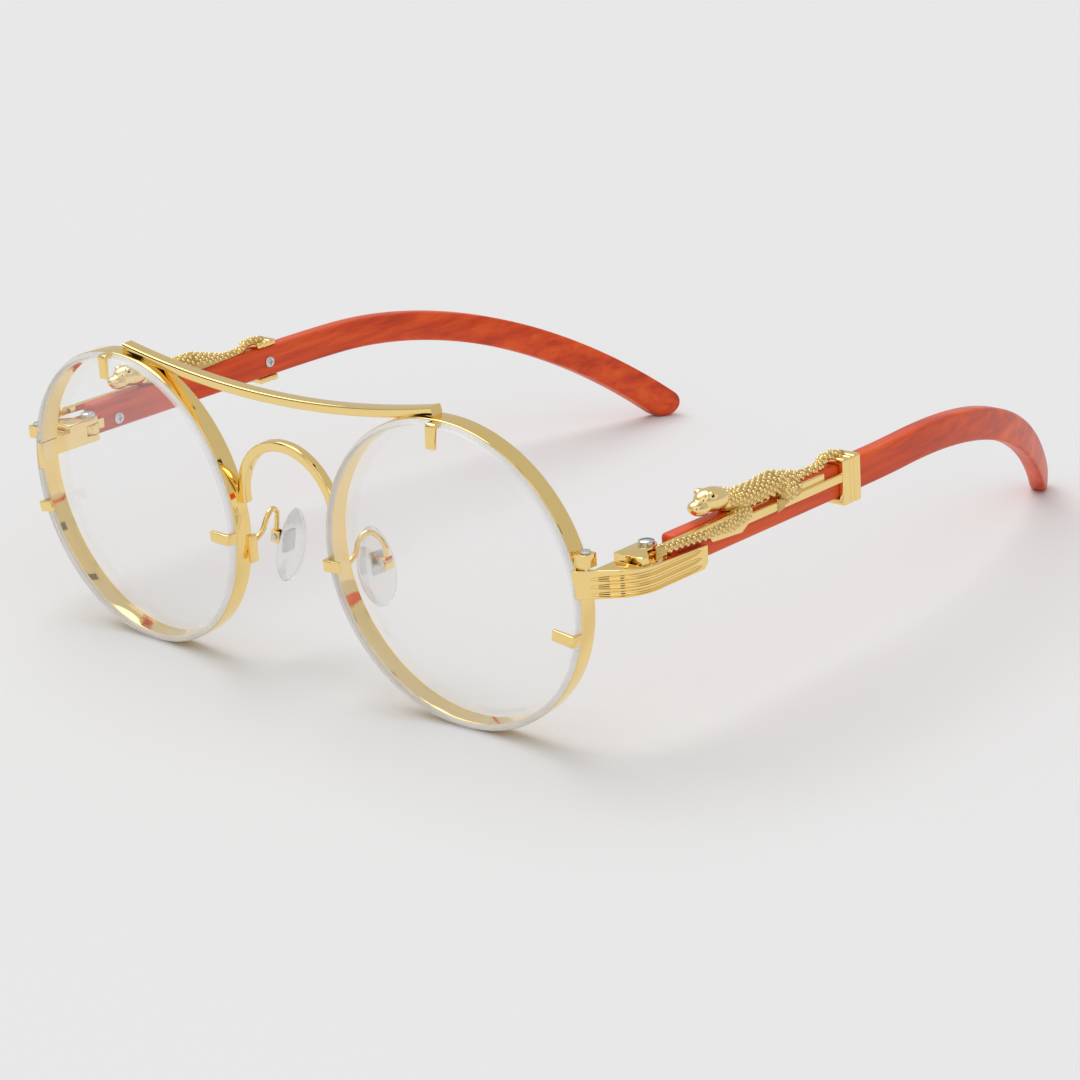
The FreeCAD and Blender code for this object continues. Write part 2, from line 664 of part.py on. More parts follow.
SCREW_AXIS = FreeCAD.Rotation(Vector(0, 1, 0), 90)      # turns local Z to +X, outwards through the arm
front_screw_place = Vector(WOOD_INNER, size("front_screw_y"), size("front_screw_z"))
rear_screw_place = Vector(WOOD_INNER, CLAMP_MIDDLE, size("wood_z"))


def screw_room(place, length, play):
    """The bore for a temple screw, from the wood's inner face outwards."""
    radius = size("screw_radius") + play
    return Part.makeCylinder(radius, length, place - Vector(0.01, 0, 0), Vector(1, 0, 0))


FRONT_SCREW_LENGTH = size("wood_thickness") / 2 + 0.5
REAR_SCREW_LENGTH = size("wood_thickness") + size("clamp_wall") * 0.6
leaf_shape = build_temple_leaf()
left_temple_leaf = feature("left_temple_leaf", leaf_shape.cut(screw_room(front_screw_place, 3.1, 0)))
pair(left_temple_leaf, "hinge_temple_leaf")


# ------------------------------------------------------------------ wooden arm
def build_arm():
    """The wooden arm: its plan, which tucks in behind the ear, met by its side view, which bends down."""
    half = size("wood_thickness") / 2
    radius = size("tuck_radius")
    bend = size("tuck_bend")
    swing = 0.6
    centre = Vector(WOOD_X - radius, bend, 0)
    front = size("wood_front")

    def plan_points(offset):
        reach = radius + offset
        return [centre + Vector(reach * math.cos(a), reach * math.sin(a), 0) for a in (0, swing / 2, swing)]
    outer, inner = plan_points(half), plan_points(-half)
    plan = Part.Wire([
        Part.LineSegment(Vector(outer[0].x, front, 0), outer[0]).toShape(),
        Part.Arc(*outer).toShape(),
        Part.LineSegment(outer[2], inner[2]).toShape(),
        Part.Arc(*reversed(inner)).toShape(),
        Part.LineSegment(inner[0], Vector(inner[0].x, front, 0)).toShape(),
        Part.LineSegment(Vector(inner[0].x, front, 0), Vector(outer[0].x, front, 0)).toShape(),
    ])
    slab = Part.Face(plan).extrude(Vector(0, 0, BIG))

    deep = size("wood_depth") / 2
    ear = size("ear_radius")
    drop = size("wood_z") - deep
    sweep = math.acos((ear - drop) / ear)
    hub = Vector(0, size("ear_bend"), size("wood_z") - ear)

    def side_point(offset, angle):
        reach = ear + offset
        return hub + Vector(0, reach * math.sin(angle), reach * math.cos(angle))
    tip = side_point(0, sweep) + Vector(0, math.cos(sweep), -math.sin(sweep)) * deep
    side = Part.Wire([
        Part.LineSegment(Vector(0, front, WOOD_TOP), side_point(deep, 0)).toShape(),
        Part.Arc(side_point(deep, 0), side_point(deep, sweep / 2), side_point(deep, sweep)).toShape(),
        Part.Arc(side_point(deep, sweep), tip, side_point(-deep, sweep)).toShape(),
        Part.Arc(side_point(-deep, sweep), side_point(-deep, sweep / 2), side_point(-deep, 0)).toShape(),
        Part.LineSegment(side_point(-deep, 0), Vector(0, front, WOOD_BOTTOM)).toShape(),
        Part.LineSegment(Vector(0, front, WOOD_BOTTOM), Vector(0, front, WOOD_TOP)).toShape(),
    ])
    profile = Part.Face(side).extrude(Vector(BIG + 20, 0, 0))
    arm = slab.common(profile)
    long_edges = [edge for edge in arm.Edges if edge.BoundBox.YLength > 3.0 or edge.BoundBox.ZLength > 4.0]
    long_edges = [edge for edge in long_edges if edge.BoundBox.YMax > front + 1]
    return arm.makeFillet(size("wood_round"), long_edges)


arm_blank = build_arm()
left_arm_shape = arm_blank.cut(leaf_shape)
left_arm_shape = left_arm_shape.cut(screw_room(front_screw_place, FRONT_SCREW_LENGTH, size("screw_fit")))
left_arm_shape = left_arm_shape.cut(screw_room(rear_screw_place, REAR_SCREW_LENGTH, size("screw_fit")))
pair(feature("left_temple_arm", left_arm_shape), "temple_arm")


# ------------------------------------------------------------------ side rail, clamp and screws
rail_points = [
    ("Sizes.rail_front", "Sizes.shield_top_front + Sizes.seat_clearance + 0.1"),
    ("Sizes.shield_rear + 0.6", "Sizes.shield_top_front + Sizes.seat_clearance + 0.1"),
    ("Sizes.shield_rear + 1.6", "Sizes.rail_bottom - 0.4"),
    ("Sizes.shield_rear + 8.4", "Sizes.rail_bottom - 0.9"),
    ("Sizes.shield_rear + 10", "Sizes.rail_bottom"),
    ("Sizes.clamp_front", "Sizes.rail_bottom"),
    ("Sizes.clamp_front", "Sizes.rail_top"),
    ("Sizes.shield_rear + 11", "Sizes.rail_top"),
    ("Sizes.shield_rear + 9.4", "Sizes.wood_z + Sizes.wood_depth / 2"),
    ("Sizes.rail_front", "Sizes.wood_z + Sizes.wood_depth / 2"),
]
side_rail = padded("left_side_rail", "YZ_Plane", rail_points, "Sizes.rail_thickness", at(WOOD_OUTER, 0, 0))
pair(side_rail, "side_rail")

inner_lip = "-(Sizes.wood_thickness - 0.2)"
clamp_points = [
    ("Sizes.clamp_wall", "-Sizes.wood_depth / 2 - Sizes.clamp_wall"),
    ("Sizes.clamp_wall", "Sizes.wood_depth / 2 + Sizes.clamp_wall"),
    (inner_lip, "Sizes.wood_depth / 2 + Sizes.clamp_wall"),
    (inner_lip, "Sizes.wood_depth / 2"),
    ("0", "Sizes.wood_depth / 2"),
    ("0", "-Sizes.wood_depth / 2"),
    (inner_lip, "-Sizes.wood_depth / 2"),
    (inner_lip, "-Sizes.wood_depth / 2 - Sizes.clamp_wall"),
]
clamp_blank = padded("clamp_blank", "XZ_Plane", clamp_points, "Sizes.clamp_width",
                     at(WOOD_OUTER, size("clamp_front"), size("wood_z")), reverse=True)
clamp_bore = feature("clamp_bore", screw_room(rear_screw_place, REAR_SCREW_LENGTH + 0.05, 0))
pair(cut("left_clamp_raw", clamp_blank, clamp_bore), "temple_clamp")


def build_temple_screws():
    """Two screws driven from the inner face of the arm."""
    screws = []
    for place, length in ((front_screw_place, FRONT_SCREW_LENGTH), (rear_screw_place, REAR_SCREW_LENGTH)):
        shank = Part.makeCylinder(size("screw_radius"), length, place, Vector(1, 0, 0))
        head = Part.makeCylinder(size("screw_head_radius"), size("screw_head"),
                                 place - Vector(size("screw_head"), 0, 0), Vector(1, 0, 0))
        screws.append(shank.fuse(head).removeSplitter())
    return feature("left_screws", Part.makeCompound(screws))


pair(build_temple_screws(), "temple_screws")


# ------------------------------------------------------------------ the crouching salamander on each arm
def build_salamander():
    """A salamander that lies along the top of the arm, its tail at the clamp and a foreleg forward."""
    top = WOOD_TOP
    side = WOOD_OUTER
    middle = WOOD_X
    rear = size("clamp_front")
    spine = capsule_chain([
        ((middle + 0.2, 28.0, top + 1.3), 1.45),
        ((middle + 0.4, 31.5, top + 1.0), 1.9),
        ((middle + 0.4, 35.5, top + 0.9), 1.9),
        ((middle + 0.1, 40.2, top + 1.0), 2.05),
        ((middle + 0.1, 44.3, top + 0.4), 1.5),
        ((middle, 47.8, top + 0.1), 0.9),
        ((middle, rear - 2.6, top + 0.2), 0.7),
    ])
    head = ellipsoid((middle, 25.4, top + 2.0), (1.7, 3.7, 1.65))
    foreleg = capsule_chain([
        ((side - 0.2, 32.0, top - 0.9), 1.5),
        ((side + 0.5, 27.8, top - 1.5), 1.2),
        ((side + 0.75, 22.6, top - 1.3), 0.8),
        ((side + 0.75, 16.0, top - 0.85), 0.7),
        ((side + 0.75, 11.6, top - 0.7), 0.65),
    ])
    hind_leg = capsule_chain([
        ((side - 0.3, 41.5, top - 0.2), 1.6),
        ((side + 0.2, 44.0, top - 0.6), 1.2),
    ])
    tail_end = capsule_chain([
        ((middle, rear - 2.6, top + 0.2), 0.7),
        ((middle, rear - 0.8, top + 0.9), 0.7),
    ])
    body = spine.multiFuse([head, foreleg, hind_leg, tail_end])
    room = Part.makeBox(30, rear - 0.02, 30, Vector(middle - 15, 0, top - 15))
    return body.common(room)


WOOD_ROOM = Vector(size("wood_thickness") + 10, 2 * BIG, size("wood_depth") + 10)
wood_room = Part.makeBox(*WOOD_ROOM, Vector(WOOD_OUTER - WOOD_ROOM.x, 0, WOOD_TOP - WOOD_ROOM.z))
salamander_blank = feature("salamander_blank", build_salamander().cut(wood_room))
pair(cut("left_salamander_raw", salamander_blank, side_rail), "salamander")


# ------------------------------------------------------------------ nose pads
PAD_Y = size("rim_depth") + size("pad_back")
PAD_CENTRE = Vector(RIM_INNER_SIDE - size("pad_inset"), PAD_Y, CENTRE_Z - size("pad_drop"))
PAD_LEAN = FreeCAD.Rotation(Vector(0, 1, 0), -size("pad_slant"))
PAD_TURN = FreeCAD.Rotation(Vector(0, 0, 1), -size("pad_splay")).multiply(PAD_LEAN)
PAD_FRAME = FreeCAD.Placement(PAD_CENTRE, PAD_TURN)
BOX = size("pad_box")
BACK = size("pad_thickness") / 2             # the back of the pad, which faces the lens
BOX_FRONT = BACK + size("pad_stem")
PIVOT = Vector(BOX_FRONT + BOX / 2, 0, 0.6)
CORE = 0.6
PIN = 0.3


def build_pad():
    """The pad: a drop-shaped cushion with a flat back and a slot for its metal core."""
    high, wide, thick = size("pad_height") / 2, size("pad_width") / 2, size("pad_thickness")
    upper = ellipsoid((0, 0, 0), (thick, wide * 0.86, high))
    lower = ellipsoid((0, 0, -high * 0.25), (thick, wide, high * 0.75))
    slab = Part.makeBox(thick, 2 * wide + 2, 2 * high + 2, Vector(-BACK, -wide - 1, -high - 1))
    return upper.fuse(lower).common(slab)


def build_pad_core():
    """The metal core moulded into the pad, with the stem that is pinned in the pad box."""
    plate = Part.makeBox(0.5, 2.4, 3.6, Vector(BACK - 1.1, -1.2, PIVOT.z - 1.8))
    stem = Part.makeBox(BOX_FRONT + BOX * 0.72 - BACK + 0.9, CORE, 0.9,
                        Vector(BACK - 0.9, -CORE / 2, PIVOT.z - 0.45))
    bore = Part.makeCylinder(PIN + 0.05, 4, Vector(PIVOT.x, -2, PIVOT.z), Vector(0, 1, 0))
    return plate.fuse(stem).cut(bore).removeSplitter()


def build_pad_box():
    """The pad box at the end of the wire: two cheeks that hold the stem between them."""
    slot = CORE + 2 * size("pad_play")
    shell = Part.makeBox(BOX, BOX, 2.0, Vector(BOX_FRONT, -BOX / 2, PIVOT.z - 1.0))
    mouth = Part.makeBox(BOX * 0.85, slot, 3.0, Vector(BOX_FRONT - 0.01, -slot / 2, PIVOT.z - 1.5))
    bore = Part.makeCylinder(PIN, 4, Vector(PIVOT.x, -2, PIVOT.z), Vector(0, 1, 0))
    return shell.cut(mouth).cut(bore)


def build_pad_screw():
    """The small screw through the pad box that the pad rocks on."""
    shank = Part.makeCylinder(PIN, BOX, Vector(PIVOT.x, -BOX / 2, PIVOT.z), Vector(0, 1, 0))
    head = Part.makeCylinder(PIN * 1.7, 0.3, Vector(PIVOT.x, -BOX / 2 - 0.3, PIVOT.z), Vector(0, 1, 0))
    return shank.fuse(head).removeSplitter()


def build_pad_arm():
    """The bent wire from its solder foot on the rim, back and over to the pad box."""
    box_top = PAD_FRAME.multVec(Vector(BOX_FRONT + BOX * 0.6, 0, PIVOT.z + 1.0))
    foot = Vector(RIM_INNER_SIDE, size("rim_depth") - 0.5, PAD_CENTRE.z + 2.6)
    bends = [(0.9, -5.3, 3.6), (0.8, -4.0, 5.7), (1.2, -2.4, 6.5), (1.7, -1.0, 5.6), (2.6, -0.3, 3.8)]
    route = [foot] + [PAD_CENTRE + Vector(*bend) for bend in bends] + [box_top]
    line = Part.BSplineCurve()
    line.interpolate(route)
    spine = Part.Wire([line.toShape()])
    circle = Part.Wire([Part.makeCircle(size("wire_radius"), route[0], line.tangent(0)[0])])
    wire = spine.makePipeShell([circle], True, True)
    plate_low = Vector(RIM_INNER_SIDE - 0.5, 1.3, PAD_CENTRE.z - 0.8)
    plate = Part.makeBox(1.6, size("rim_depth") - 1.6, 4.6, plate_low)
    return wire.multiFuse([Part.makeSphere(size("wire_radius"), foot), plate])


pad_shape = build_pad()
core_shape = build_pad_core()
pad_bodies = (
    ("nose_pad", pad_shape.cut(core_shape)),
    ("pad_core", core_shape),
    ("pad_box", build_pad_box()),
    ("pad_screw", build_pad_screw()),
)
pad_box_solid = None
for pad_name, pad_solid in pad_bodies:
    piece = feature("left_" + pad_name + "_shape", pad_solid)
    piece.Placement = PAD_FRAME
    pair(piece, pad_name)
    if pad_name == "pad_box":
        pad_box_solid = piece
pad_arm_blank = feature("pad_arm_blank", build_pad_arm())
pair(cut("left_pad_arm_raw", pad_arm_blank, rim_room, pad_box_solid), "pad_arm")


# ------------------------------------------------------------------ check and export
doc.recompute()
for item in doc.Objects:
    if "Invalid" in item.State or "Error" in item.State:
        raise RuntimeError("%s did not build: %s" % (item.Label, item.State))
os.makedirs("parts", exist_ok=True)
for item in EXPORTS:
    shape = item.Shape
    if shape.isNull() or not shape.isValid() or not shape.Solids:
        raise RuntimeError("%s has no valid shape" % item.Label)
    shape.exportStep(os.path.join("parts", item.Label + ".step"))
    box_size = shape.BoundBox
    print("%-26s solids %d volume %8.2f  x %.2f..%.2f y %.2f..%.2f z %.2f..%.2f" % (
        item.Label, len(shape.Solids), shape.Volume, box_size.XMin, box_size.XMax,
        box_size.YMin, box_size.YMax, box_size.ZMin, box_size.ZMax))
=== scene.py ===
"""Round wire eyeglasses with wooden temples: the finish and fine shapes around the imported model."""

import math
import random

import bmesh
import bpy
from mathutils import Matrix, Quaternion, Vector
from mathutils.bvhtree import BVHTree


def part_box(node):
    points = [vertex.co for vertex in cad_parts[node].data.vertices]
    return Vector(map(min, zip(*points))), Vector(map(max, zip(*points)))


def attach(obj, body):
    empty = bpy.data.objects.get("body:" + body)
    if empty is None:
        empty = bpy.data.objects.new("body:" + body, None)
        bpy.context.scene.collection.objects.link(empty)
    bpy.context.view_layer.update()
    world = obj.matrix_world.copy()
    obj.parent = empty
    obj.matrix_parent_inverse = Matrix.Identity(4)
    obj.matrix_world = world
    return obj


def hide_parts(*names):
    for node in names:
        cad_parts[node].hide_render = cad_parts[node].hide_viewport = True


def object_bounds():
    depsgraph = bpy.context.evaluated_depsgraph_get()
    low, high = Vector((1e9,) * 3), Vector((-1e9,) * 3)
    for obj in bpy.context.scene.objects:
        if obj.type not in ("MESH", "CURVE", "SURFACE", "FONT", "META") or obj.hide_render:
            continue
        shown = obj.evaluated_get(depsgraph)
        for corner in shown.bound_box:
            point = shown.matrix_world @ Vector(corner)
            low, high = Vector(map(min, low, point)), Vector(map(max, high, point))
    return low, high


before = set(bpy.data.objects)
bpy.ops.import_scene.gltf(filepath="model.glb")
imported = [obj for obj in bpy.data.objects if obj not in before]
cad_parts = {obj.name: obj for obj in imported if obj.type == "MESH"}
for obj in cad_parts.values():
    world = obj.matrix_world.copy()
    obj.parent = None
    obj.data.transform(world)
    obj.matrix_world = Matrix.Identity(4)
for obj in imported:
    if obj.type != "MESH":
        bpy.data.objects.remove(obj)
cad_low, cad_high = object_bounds()
MM = 0.001
SIDES = ("left", "right")

# ------------------------------------------------------------------ sizes, in millimetres, from the frame


def span(node):
    """A CAD node's lowest and highest corner in millimetres."""
    low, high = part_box(node)
    return low / MM, high / MM


TILT = math.radians(3.3)  # the front leans forward
WRAP = math.radians(2.6)  # each rim is turned back at its outer end
RIM_WALL = 1.1
RIM_DEPTH = 3.2
rim_low, rim_high = span("left_rim")
RIM_R = (rim_high.z - rim_low.z - RIM_DEPTH * math.sin(TILT)) / 2 / math.cos(TILT)
RIM_MIDDLE = (rim_low + rim_high) / 2
LEAN = Matrix.Rotation(TILT, 3, "X")
RIM_TURN = LEAN @ Matrix.Rotation(WRAP, 3, "Z")
RIM_CENTRE = RIM_MIDDLE - RIM_TURN @ Vector((0, RIM_DEPTH / 2, 0))
FRONT_CENTRE = Vector((0, RIM_CENTRE.y, RIM_CENTRE.z))
arm_low, arm_high = span("left_temple_arm")
rail_low, rail_high = span("left_side_rail")
clamp_low, clamp_high = span("left_temple_clamp")
plate_low, plate_high = span("left_end_piece")
screw_low, screw_high = span("left_hinge_screw")
WOOD_OUTER = rail_low.x
WOOD_THICK = 3.1
WOOD_X = WOOD_OUTER - WOOD_THICK / 2
WOOD_DEEP = 5.4
WOOD_TOP = rail_high.z
WOOD_Z = WOOD_TOP - WOOD_DEEP / 2
WOOD_FRONT = arm_low.y
EAR_BEND, EAR_R = 74.5, 98.0  # where the arm starts to bend down, and the bend's radius
TUCK_BEND, TUCK_R = 62.0, 165.6  # the same for the bend towards the head


# ------------------------------------------------------------------ shader helpers
class Value:
    """A socket in a material, with arithmetic that adds Math nodes."""

    def __init__(self, paint, socket):
        self.paint = paint
        self.socket = socket

    def math(self, operation, *others, clamp=False):
        inputs = dict(enumerate((self,) + others))
        node = self.paint.node("ShaderNodeMath", {"operation": operation, "use_clamp": clamp}, inputs)
        return Value(self.paint, node.outputs[0])

    def __add__(self, other):
        return self.math("ADD", other)

    __radd__ = __add__

    def __mul__(self, other):
        return self.math("MULTIPLY", other)

    __rmul__ = __mul__

    def __sub__(self, other):
        return self.math("SUBTRACT", other)

    def __rsub__(self, other):
        return (self * -1.0) + other

    def clipped(self):
        return self.math("ADD", 0.0, clamp=True)


class Paint:
    """A material under construction."""

    def __init__(self, name):
        self.material = bpy.data.materials.new(name)
        self.material.use_nodes = True
        self.tree = self.material.node_tree
        self.tree.nodes.clear()
        self.out = self.node("ShaderNodeOutputMaterial")

    def node(self, kind, settings=None, inputs=None):
        """Add a node: its settings first, then the values or links of its sockets."""
        made = self.tree.nodes.new(kind)
        for key, value in (settings or {}).items():
            if key == "stops":
                ramp = made.color_ramp
                for index, (place, colour) in enumerate(value):
                    stop = ramp.elements[index] if index < 2 else ramp.elements.new(place)
                    stop.position = place
                    stop.color = colour
            else:
                setattr(made, key, value)
        for key, value in (inputs or {}).items():
            if isinstance(value, Value):
                self.tree.links.new(value.socket, made.inputs[key])
            elif isinstance(value, bpy.types.NodeSocket):
                self.tree.links.new(value, made.inputs[key])
            else:
                made.inputs[key].default_value = value
        return made

    def place(self, stretch=(1, 1, 1), shift=(0, 0, 0)):
        """Object coordinates, stretched per axis."""
        source = self.node("ShaderNodeTexCoord")
        mapped = self.node("ShaderNodeMapping", None,
                           {"Vector": source.outputs["Object"], "Scale": stretch, "Location": shift})
        return mapped.outputs["Vector"]

    def noise(self, where, scale, detail=3.0, rough=0.5, warp=0.0):
        made = self.node("ShaderNodeTexNoise", None, {
            "Vector": where, "Scale": scale, "Detail": detail, "Roughness": rough, "Distortion": warp})
        return Value(self, made.outputs["Fac"])

    def ramp(self, value, stops):
        return self.node("ShaderNodeValToRGB", {"stops": stops}, {0: value}).outputs["Color"]

    def blend(self, factor, first, second):
        """A colour between two colours."""
        made = self.node("ShaderNodeMix", {"data_type": "RGBA"}, {0: factor, 6: first, 7: second})
        return made.outputs[2]

    def bump(self, height, strength, distance):
        made = self.node("ShaderNodeBump", None, {
            "Height": height, "Strength": strength, "Distance": distance})
        return made.outputs["Normal"]

    def surface(self, inputs):
        shader = self.node("ShaderNodeBsdfPrincipled", None, inputs)
        self.tree.links.new(shader.outputs[0], self.out.inputs["Surface"])


def rgba(red, green, blue):
    """An opaque colour."""
    return (red, green, blue, 1.0)


# ------------------------------------------------------------------ materials
def polished_metal(name, light, deep, rough, grain):
    """Polished plating: faint cloudiness and fine polishing lines."""
    paint = Paint(name)
    clouds = paint.noise(paint.place(), 90.0, 3.0)
    lines = paint.noise(paint.place((1, 0.25, 1)), 1400.0, 2.0)
    colour = paint.blend(clouds, deep, light)
    paint.surface({
        "Base Color": colour,
        "Metallic": 1.0,
        "Roughness": (clouds * 0.06 + rough).clipped(),
        "Normal": paint.bump(lines, grain, 0.00002),
    })
    return paint.material


def red_wood():
    """Varnished red hardwood: long streaks, darker pores and a thin clear coat."""
    paint = Paint("varnished_red_wood")
    streaks = paint.noise(paint.place((1.0, 0.045, 0.8)), 620.0, 5.0, 0.6, 0.4)
    broad = paint.noise(paint.place((1.0, 0.12, 1.0), (0.01, 0, 0)), 150.0, 3.0, 0.5, 1.0)
    pores = paint.noise(paint.place((1.0, 0.03, 1.0)), 2600.0, 2.0, 0.5)
    tone = (streaks * 0.65 + broad * 0.5 - 0.07).clipped()
    colour = paint.ramp(tone, [
        (0.28, rgba(0.38, 0.030, 0.004)),
        (0.72, rgba(0.90, 0.150, 0.016)),
        (0.45, rgba(0.64, 0.054, 0.006)),
        (0.56, rgba(0.77, 0.085, 0.009)),
    ])
    specks = pores.math("GREATER_THAN", 0.70)
    colour = paint.blend(specks * 0.35, colour, rgba(0.22, 0.02, 0.01))
    paint.surface({
        "Base Color": colour,
        "Roughness": (streaks * 0.2 + 0.34).clipped(),
        "Coat Weight": 0.22,
        "Coat Roughness": 0.12,
        "Specular IOR Level": 0.25,
        "Normal": paint.bump(streaks, 0.12, 0.0001),
    })
    return paint.material


def clear_body(name, haze, colour, rough, edge_gain, mirror):
    """A clear piece: a thin pale haze, stronger at grazing angles, under a polished skin."""
    paint = Paint(name)
    cloud = paint.noise(paint.place(), 260.0, 2.0)
    facing = Value(paint, paint.node("ShaderNodeLayerWeight", None, {"Blend": 0.35}).outputs["Facing"])
    body = paint.node("ShaderNodeBsdfPrincipled", None, {
        "Base Color": paint.blend(cloud, colour, rgba(1.0, 1.0, 1.0)),
        "Roughness": (cloud * 0.04 + rough).clipped(),
        "Alpha": (facing * edge_gain + haze).clipped(),
    })
    skin = paint.node("ShaderNodeBsdfPrincipled", None, {
        "Base Color": rgba(1, 1, 1), "Metallic": 1.0, "Roughness": rough})
    fresnel = Value(paint, paint.node("ShaderNodeFresnel", None, {"IOR": 1.5}).outputs[0])
    mixed = paint.node("ShaderNodeMixShader", None, {
        0: (fresnel * mirror).clipped(), 1: body.outputs[0], 2: skin.outputs[0]})
    paint.tree.links.new(mixed.outputs[0], paint.out.inputs["Surface"])
    return paint.material


def bright_steel():
    """Turned steel: fine turning marks."""
    paint = Paint("bright_steel")
    marks = paint.noise(paint.place((1, 1, 6)), 900.0, 2.0)
    paint.surface({
        "Base Color": paint.blend(marks, rgba(0.55, 0.56, 0.58), rgba(0.80, 0.80, 0.81)),
        "Metallic": 1.0,
        "Roughness": (marks * 0.15 + 0.12).clipped(),
        "Normal": paint.bump(marks, 0.2, 0.00002),
    })
    return paint.material


GOLD = polished_metal("polished_gold", rgba(1.0, 0.76, 0.33), rgba(0.96, 0.70, 0.27), 0.03, 0.04)
BEAD_GOLD = polished_metal("bead_gold", rgba(1.0, 0.78, 0.37), rgba(0.97, 0.72, 0.30), 0.10, 0.03)
RECESS_GOLD = polished_metal("recess_gold", rgba(0.80, 0.55, 0.22), rgba(0.55, 0.35, 0.11), 0.22, 0.25)
WOOD = red_wood()
LENS = clear_body("clear_lens", 0.05, rgba(0.86, 0.87, 0.89), 0.01, 0.0, 0.12)
FROST = clear_body("frosted_lens_edge", 0.55, rgba(0.74, 0.75, 0.77), 0.3, 0.1, 0.3)
PAD = clear_body("clear_silicone", 0.14, rgba(0.86, 0.87, 0.88), 0.08, 0.45, 0.7)
STEEL = bright_steel()
EYE = polished_metal("dark_eye", rgba(0.05, 0.03, 0.02), rgba(0.02, 0.012, 0.008), 0.05, 0.02)


# ------------------------------------------------------------------ mesh helpers
def placed(bm, turn, move):
    """Turn the whole mesh by a 3x3 rotation and move it."""
    bmesh.ops.transform(bm, matrix=Matrix.Translation(move) @ turn.to_4x4(), verts=bm.verts)
    return bm


def bevel(bm, edges, width, segments=3):
    bmesh.ops.bevel(bm, geom=list(edges), offset=width, segments=segments, profile=0.5,
                    affect="EDGES", material=-1, clamp_overlap=True)
    return bm


def sharp_edges(bm, degrees=40.0):
    limit = math.radians(degrees)
    return [edge for edge in bm.edges if edge.is_manifold and edge.calc_face_angle(0.0) > limit]


def block(low, high, soften=0.12, segments=3):
    """A box between two corners with rounded edges."""
    low, high = Vector(low), Vector(high)
    bm = bmesh.new()
    bmesh.ops.create_cube(bm, size=1.0)
    bmesh.ops.scale(bm, vec=high - low, verts=bm.verts)
    bmesh.ops.translate(bm, vec=(low + high) / 2, verts=bm.verts)
    if soften:
        bevel(bm, bm.edges, soften, segments)
    return bm


def polygon_prism(points, push, soften=0.0, segments=3):
    """A closed polygon pushed along a vector."""
    bm = bmesh.new()
    face = bm.faces.new([bm.verts.new(point) for point in points])
    made = bmesh.ops.extrude_face_region(bm, geom=[face])
    moved = [item for item in made["geom"] if isinstance(item, bmesh.types.BMVert)]
    bmesh.ops.translate(bm, vec=push, verts=moved)
    bmesh.ops.recalc_face_normals(bm, faces=bm.faces)
    if soften:
        bevel(bm, bm.edges, soften, segments)
    return bm


def spun(points, axis, centre, start, angle, steps):
    """A closed profile spun about an axis; open ends are capped unless it goes all the way round."""
    bm = bmesh.new()
    face = bm.faces.new([bm.verts.new(point) for point in points])
    bmesh.ops.rotate(bm, cent=centre, matrix=Matrix.Rotation(start, 3, axis), verts=bm.verts)
    whole = abs(abs(angle) - 2 * math.pi) < 1e-6
    ring = list(face.edges)
    if whole:
        bmesh.ops.delete(bm, geom=[face], context="FACES_ONLY")
        geom = list(bm.verts) + ring
    else:
        geom = list(bm.verts) + ring + [face]
    bmesh.ops.spin(bm, geom=geom, cent=centre, axis=axis, angle=angle, steps=steps, use_merge=whole)
    bmesh.ops.remove_doubles(bm, verts=bm.verts, dist=1e-4)
    bmesh.ops.recalc_face_normals(bm, faces=bm.faces)
    return bm


def rounded_rectangle(wide, high, radius, corners=4):
    """Corner points of a rectangle with rounded corners, centred."""
    points = []
    for sx, sy, first in ((1, 1, 0), (-1, 1, 90), (-1, -1, 180), (1, -1, 270)):
        for step in range(corners + 1):
            angle = math.radians(first + 90 * step / corners)
            across = sx * (wide / 2 - radius) + radius * math.cos(angle)
            up = sy * (high / 2 - radius) + radius * math.sin(angle)
            points.append((across, up))
    return points


def turned_part(radii, steps=48):
    """A turned piece: (radius, height) points spun about Z, closed at the axis."""
    bm = bmesh.new()
    chain = [bm.verts.new((radius, 0, height)) for radius, height in radii]
    edges = [bm.edges.new(pair) for pair in zip(chain, chain[1:])]
    bmesh.ops.spin(bm, geom=chain + edges, cent=(0, 0, 0), axis=(0, 0, 1), angle=2 * math.pi,
                   steps=steps, use_merge=True)
    bmesh.ops.remove_doubles(bm, verts=bm.verts, dist=1e-4)
    bmesh.ops.recalc_face_normals(bm, faces=bm.faces)
    return bm


def join(*parts):
    """Several meshes as one, each keeping its own closed shells."""
    whole = bmesh.new()
    for part in parts:
        holder = bpy.data.meshes.new("part")
        part.to_mesh(holder)
        whole.from_mesh(holder)
        bpy.data.meshes.remove(holder)
        part.free()
    return whole


def copied(node):
    """A merged copy of a CAD node's mesh, in millimetres."""
    bm = bmesh.new()
    bm.from_mesh(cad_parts[node].data)
    bmesh.ops.scale(bm, vec=(1 / MM,) * 3, verts=bm.verts)
    bmesh.ops.remove_doubles(bm, verts=bm.verts, dist=2e-4)
    return bm


def softened(node, width=0.1, segments=2, degrees=35.0):
    """A CAD node's shape with its sharp edges rounded."""
    bm = copied(node)
    bmesh.ops.dissolve_limit(bm, angle_limit=math.radians(1.0), verts=bm.verts, edges=bm.edges)
    bmesh.ops.recalc_face_normals(bm, faces=bm.faces)
    return bevel(bm, sharp_edges(bm, degrees), width, segments)


def evaluated(piece):
    """The piece's mesh with its modifiers applied."""
    bpy.context.view_layer.update()
    graph = bpy.context.evaluated_depsgraph_get()
    return bpy.data.meshes.new_from_object(piece.evaluated_get(graph))


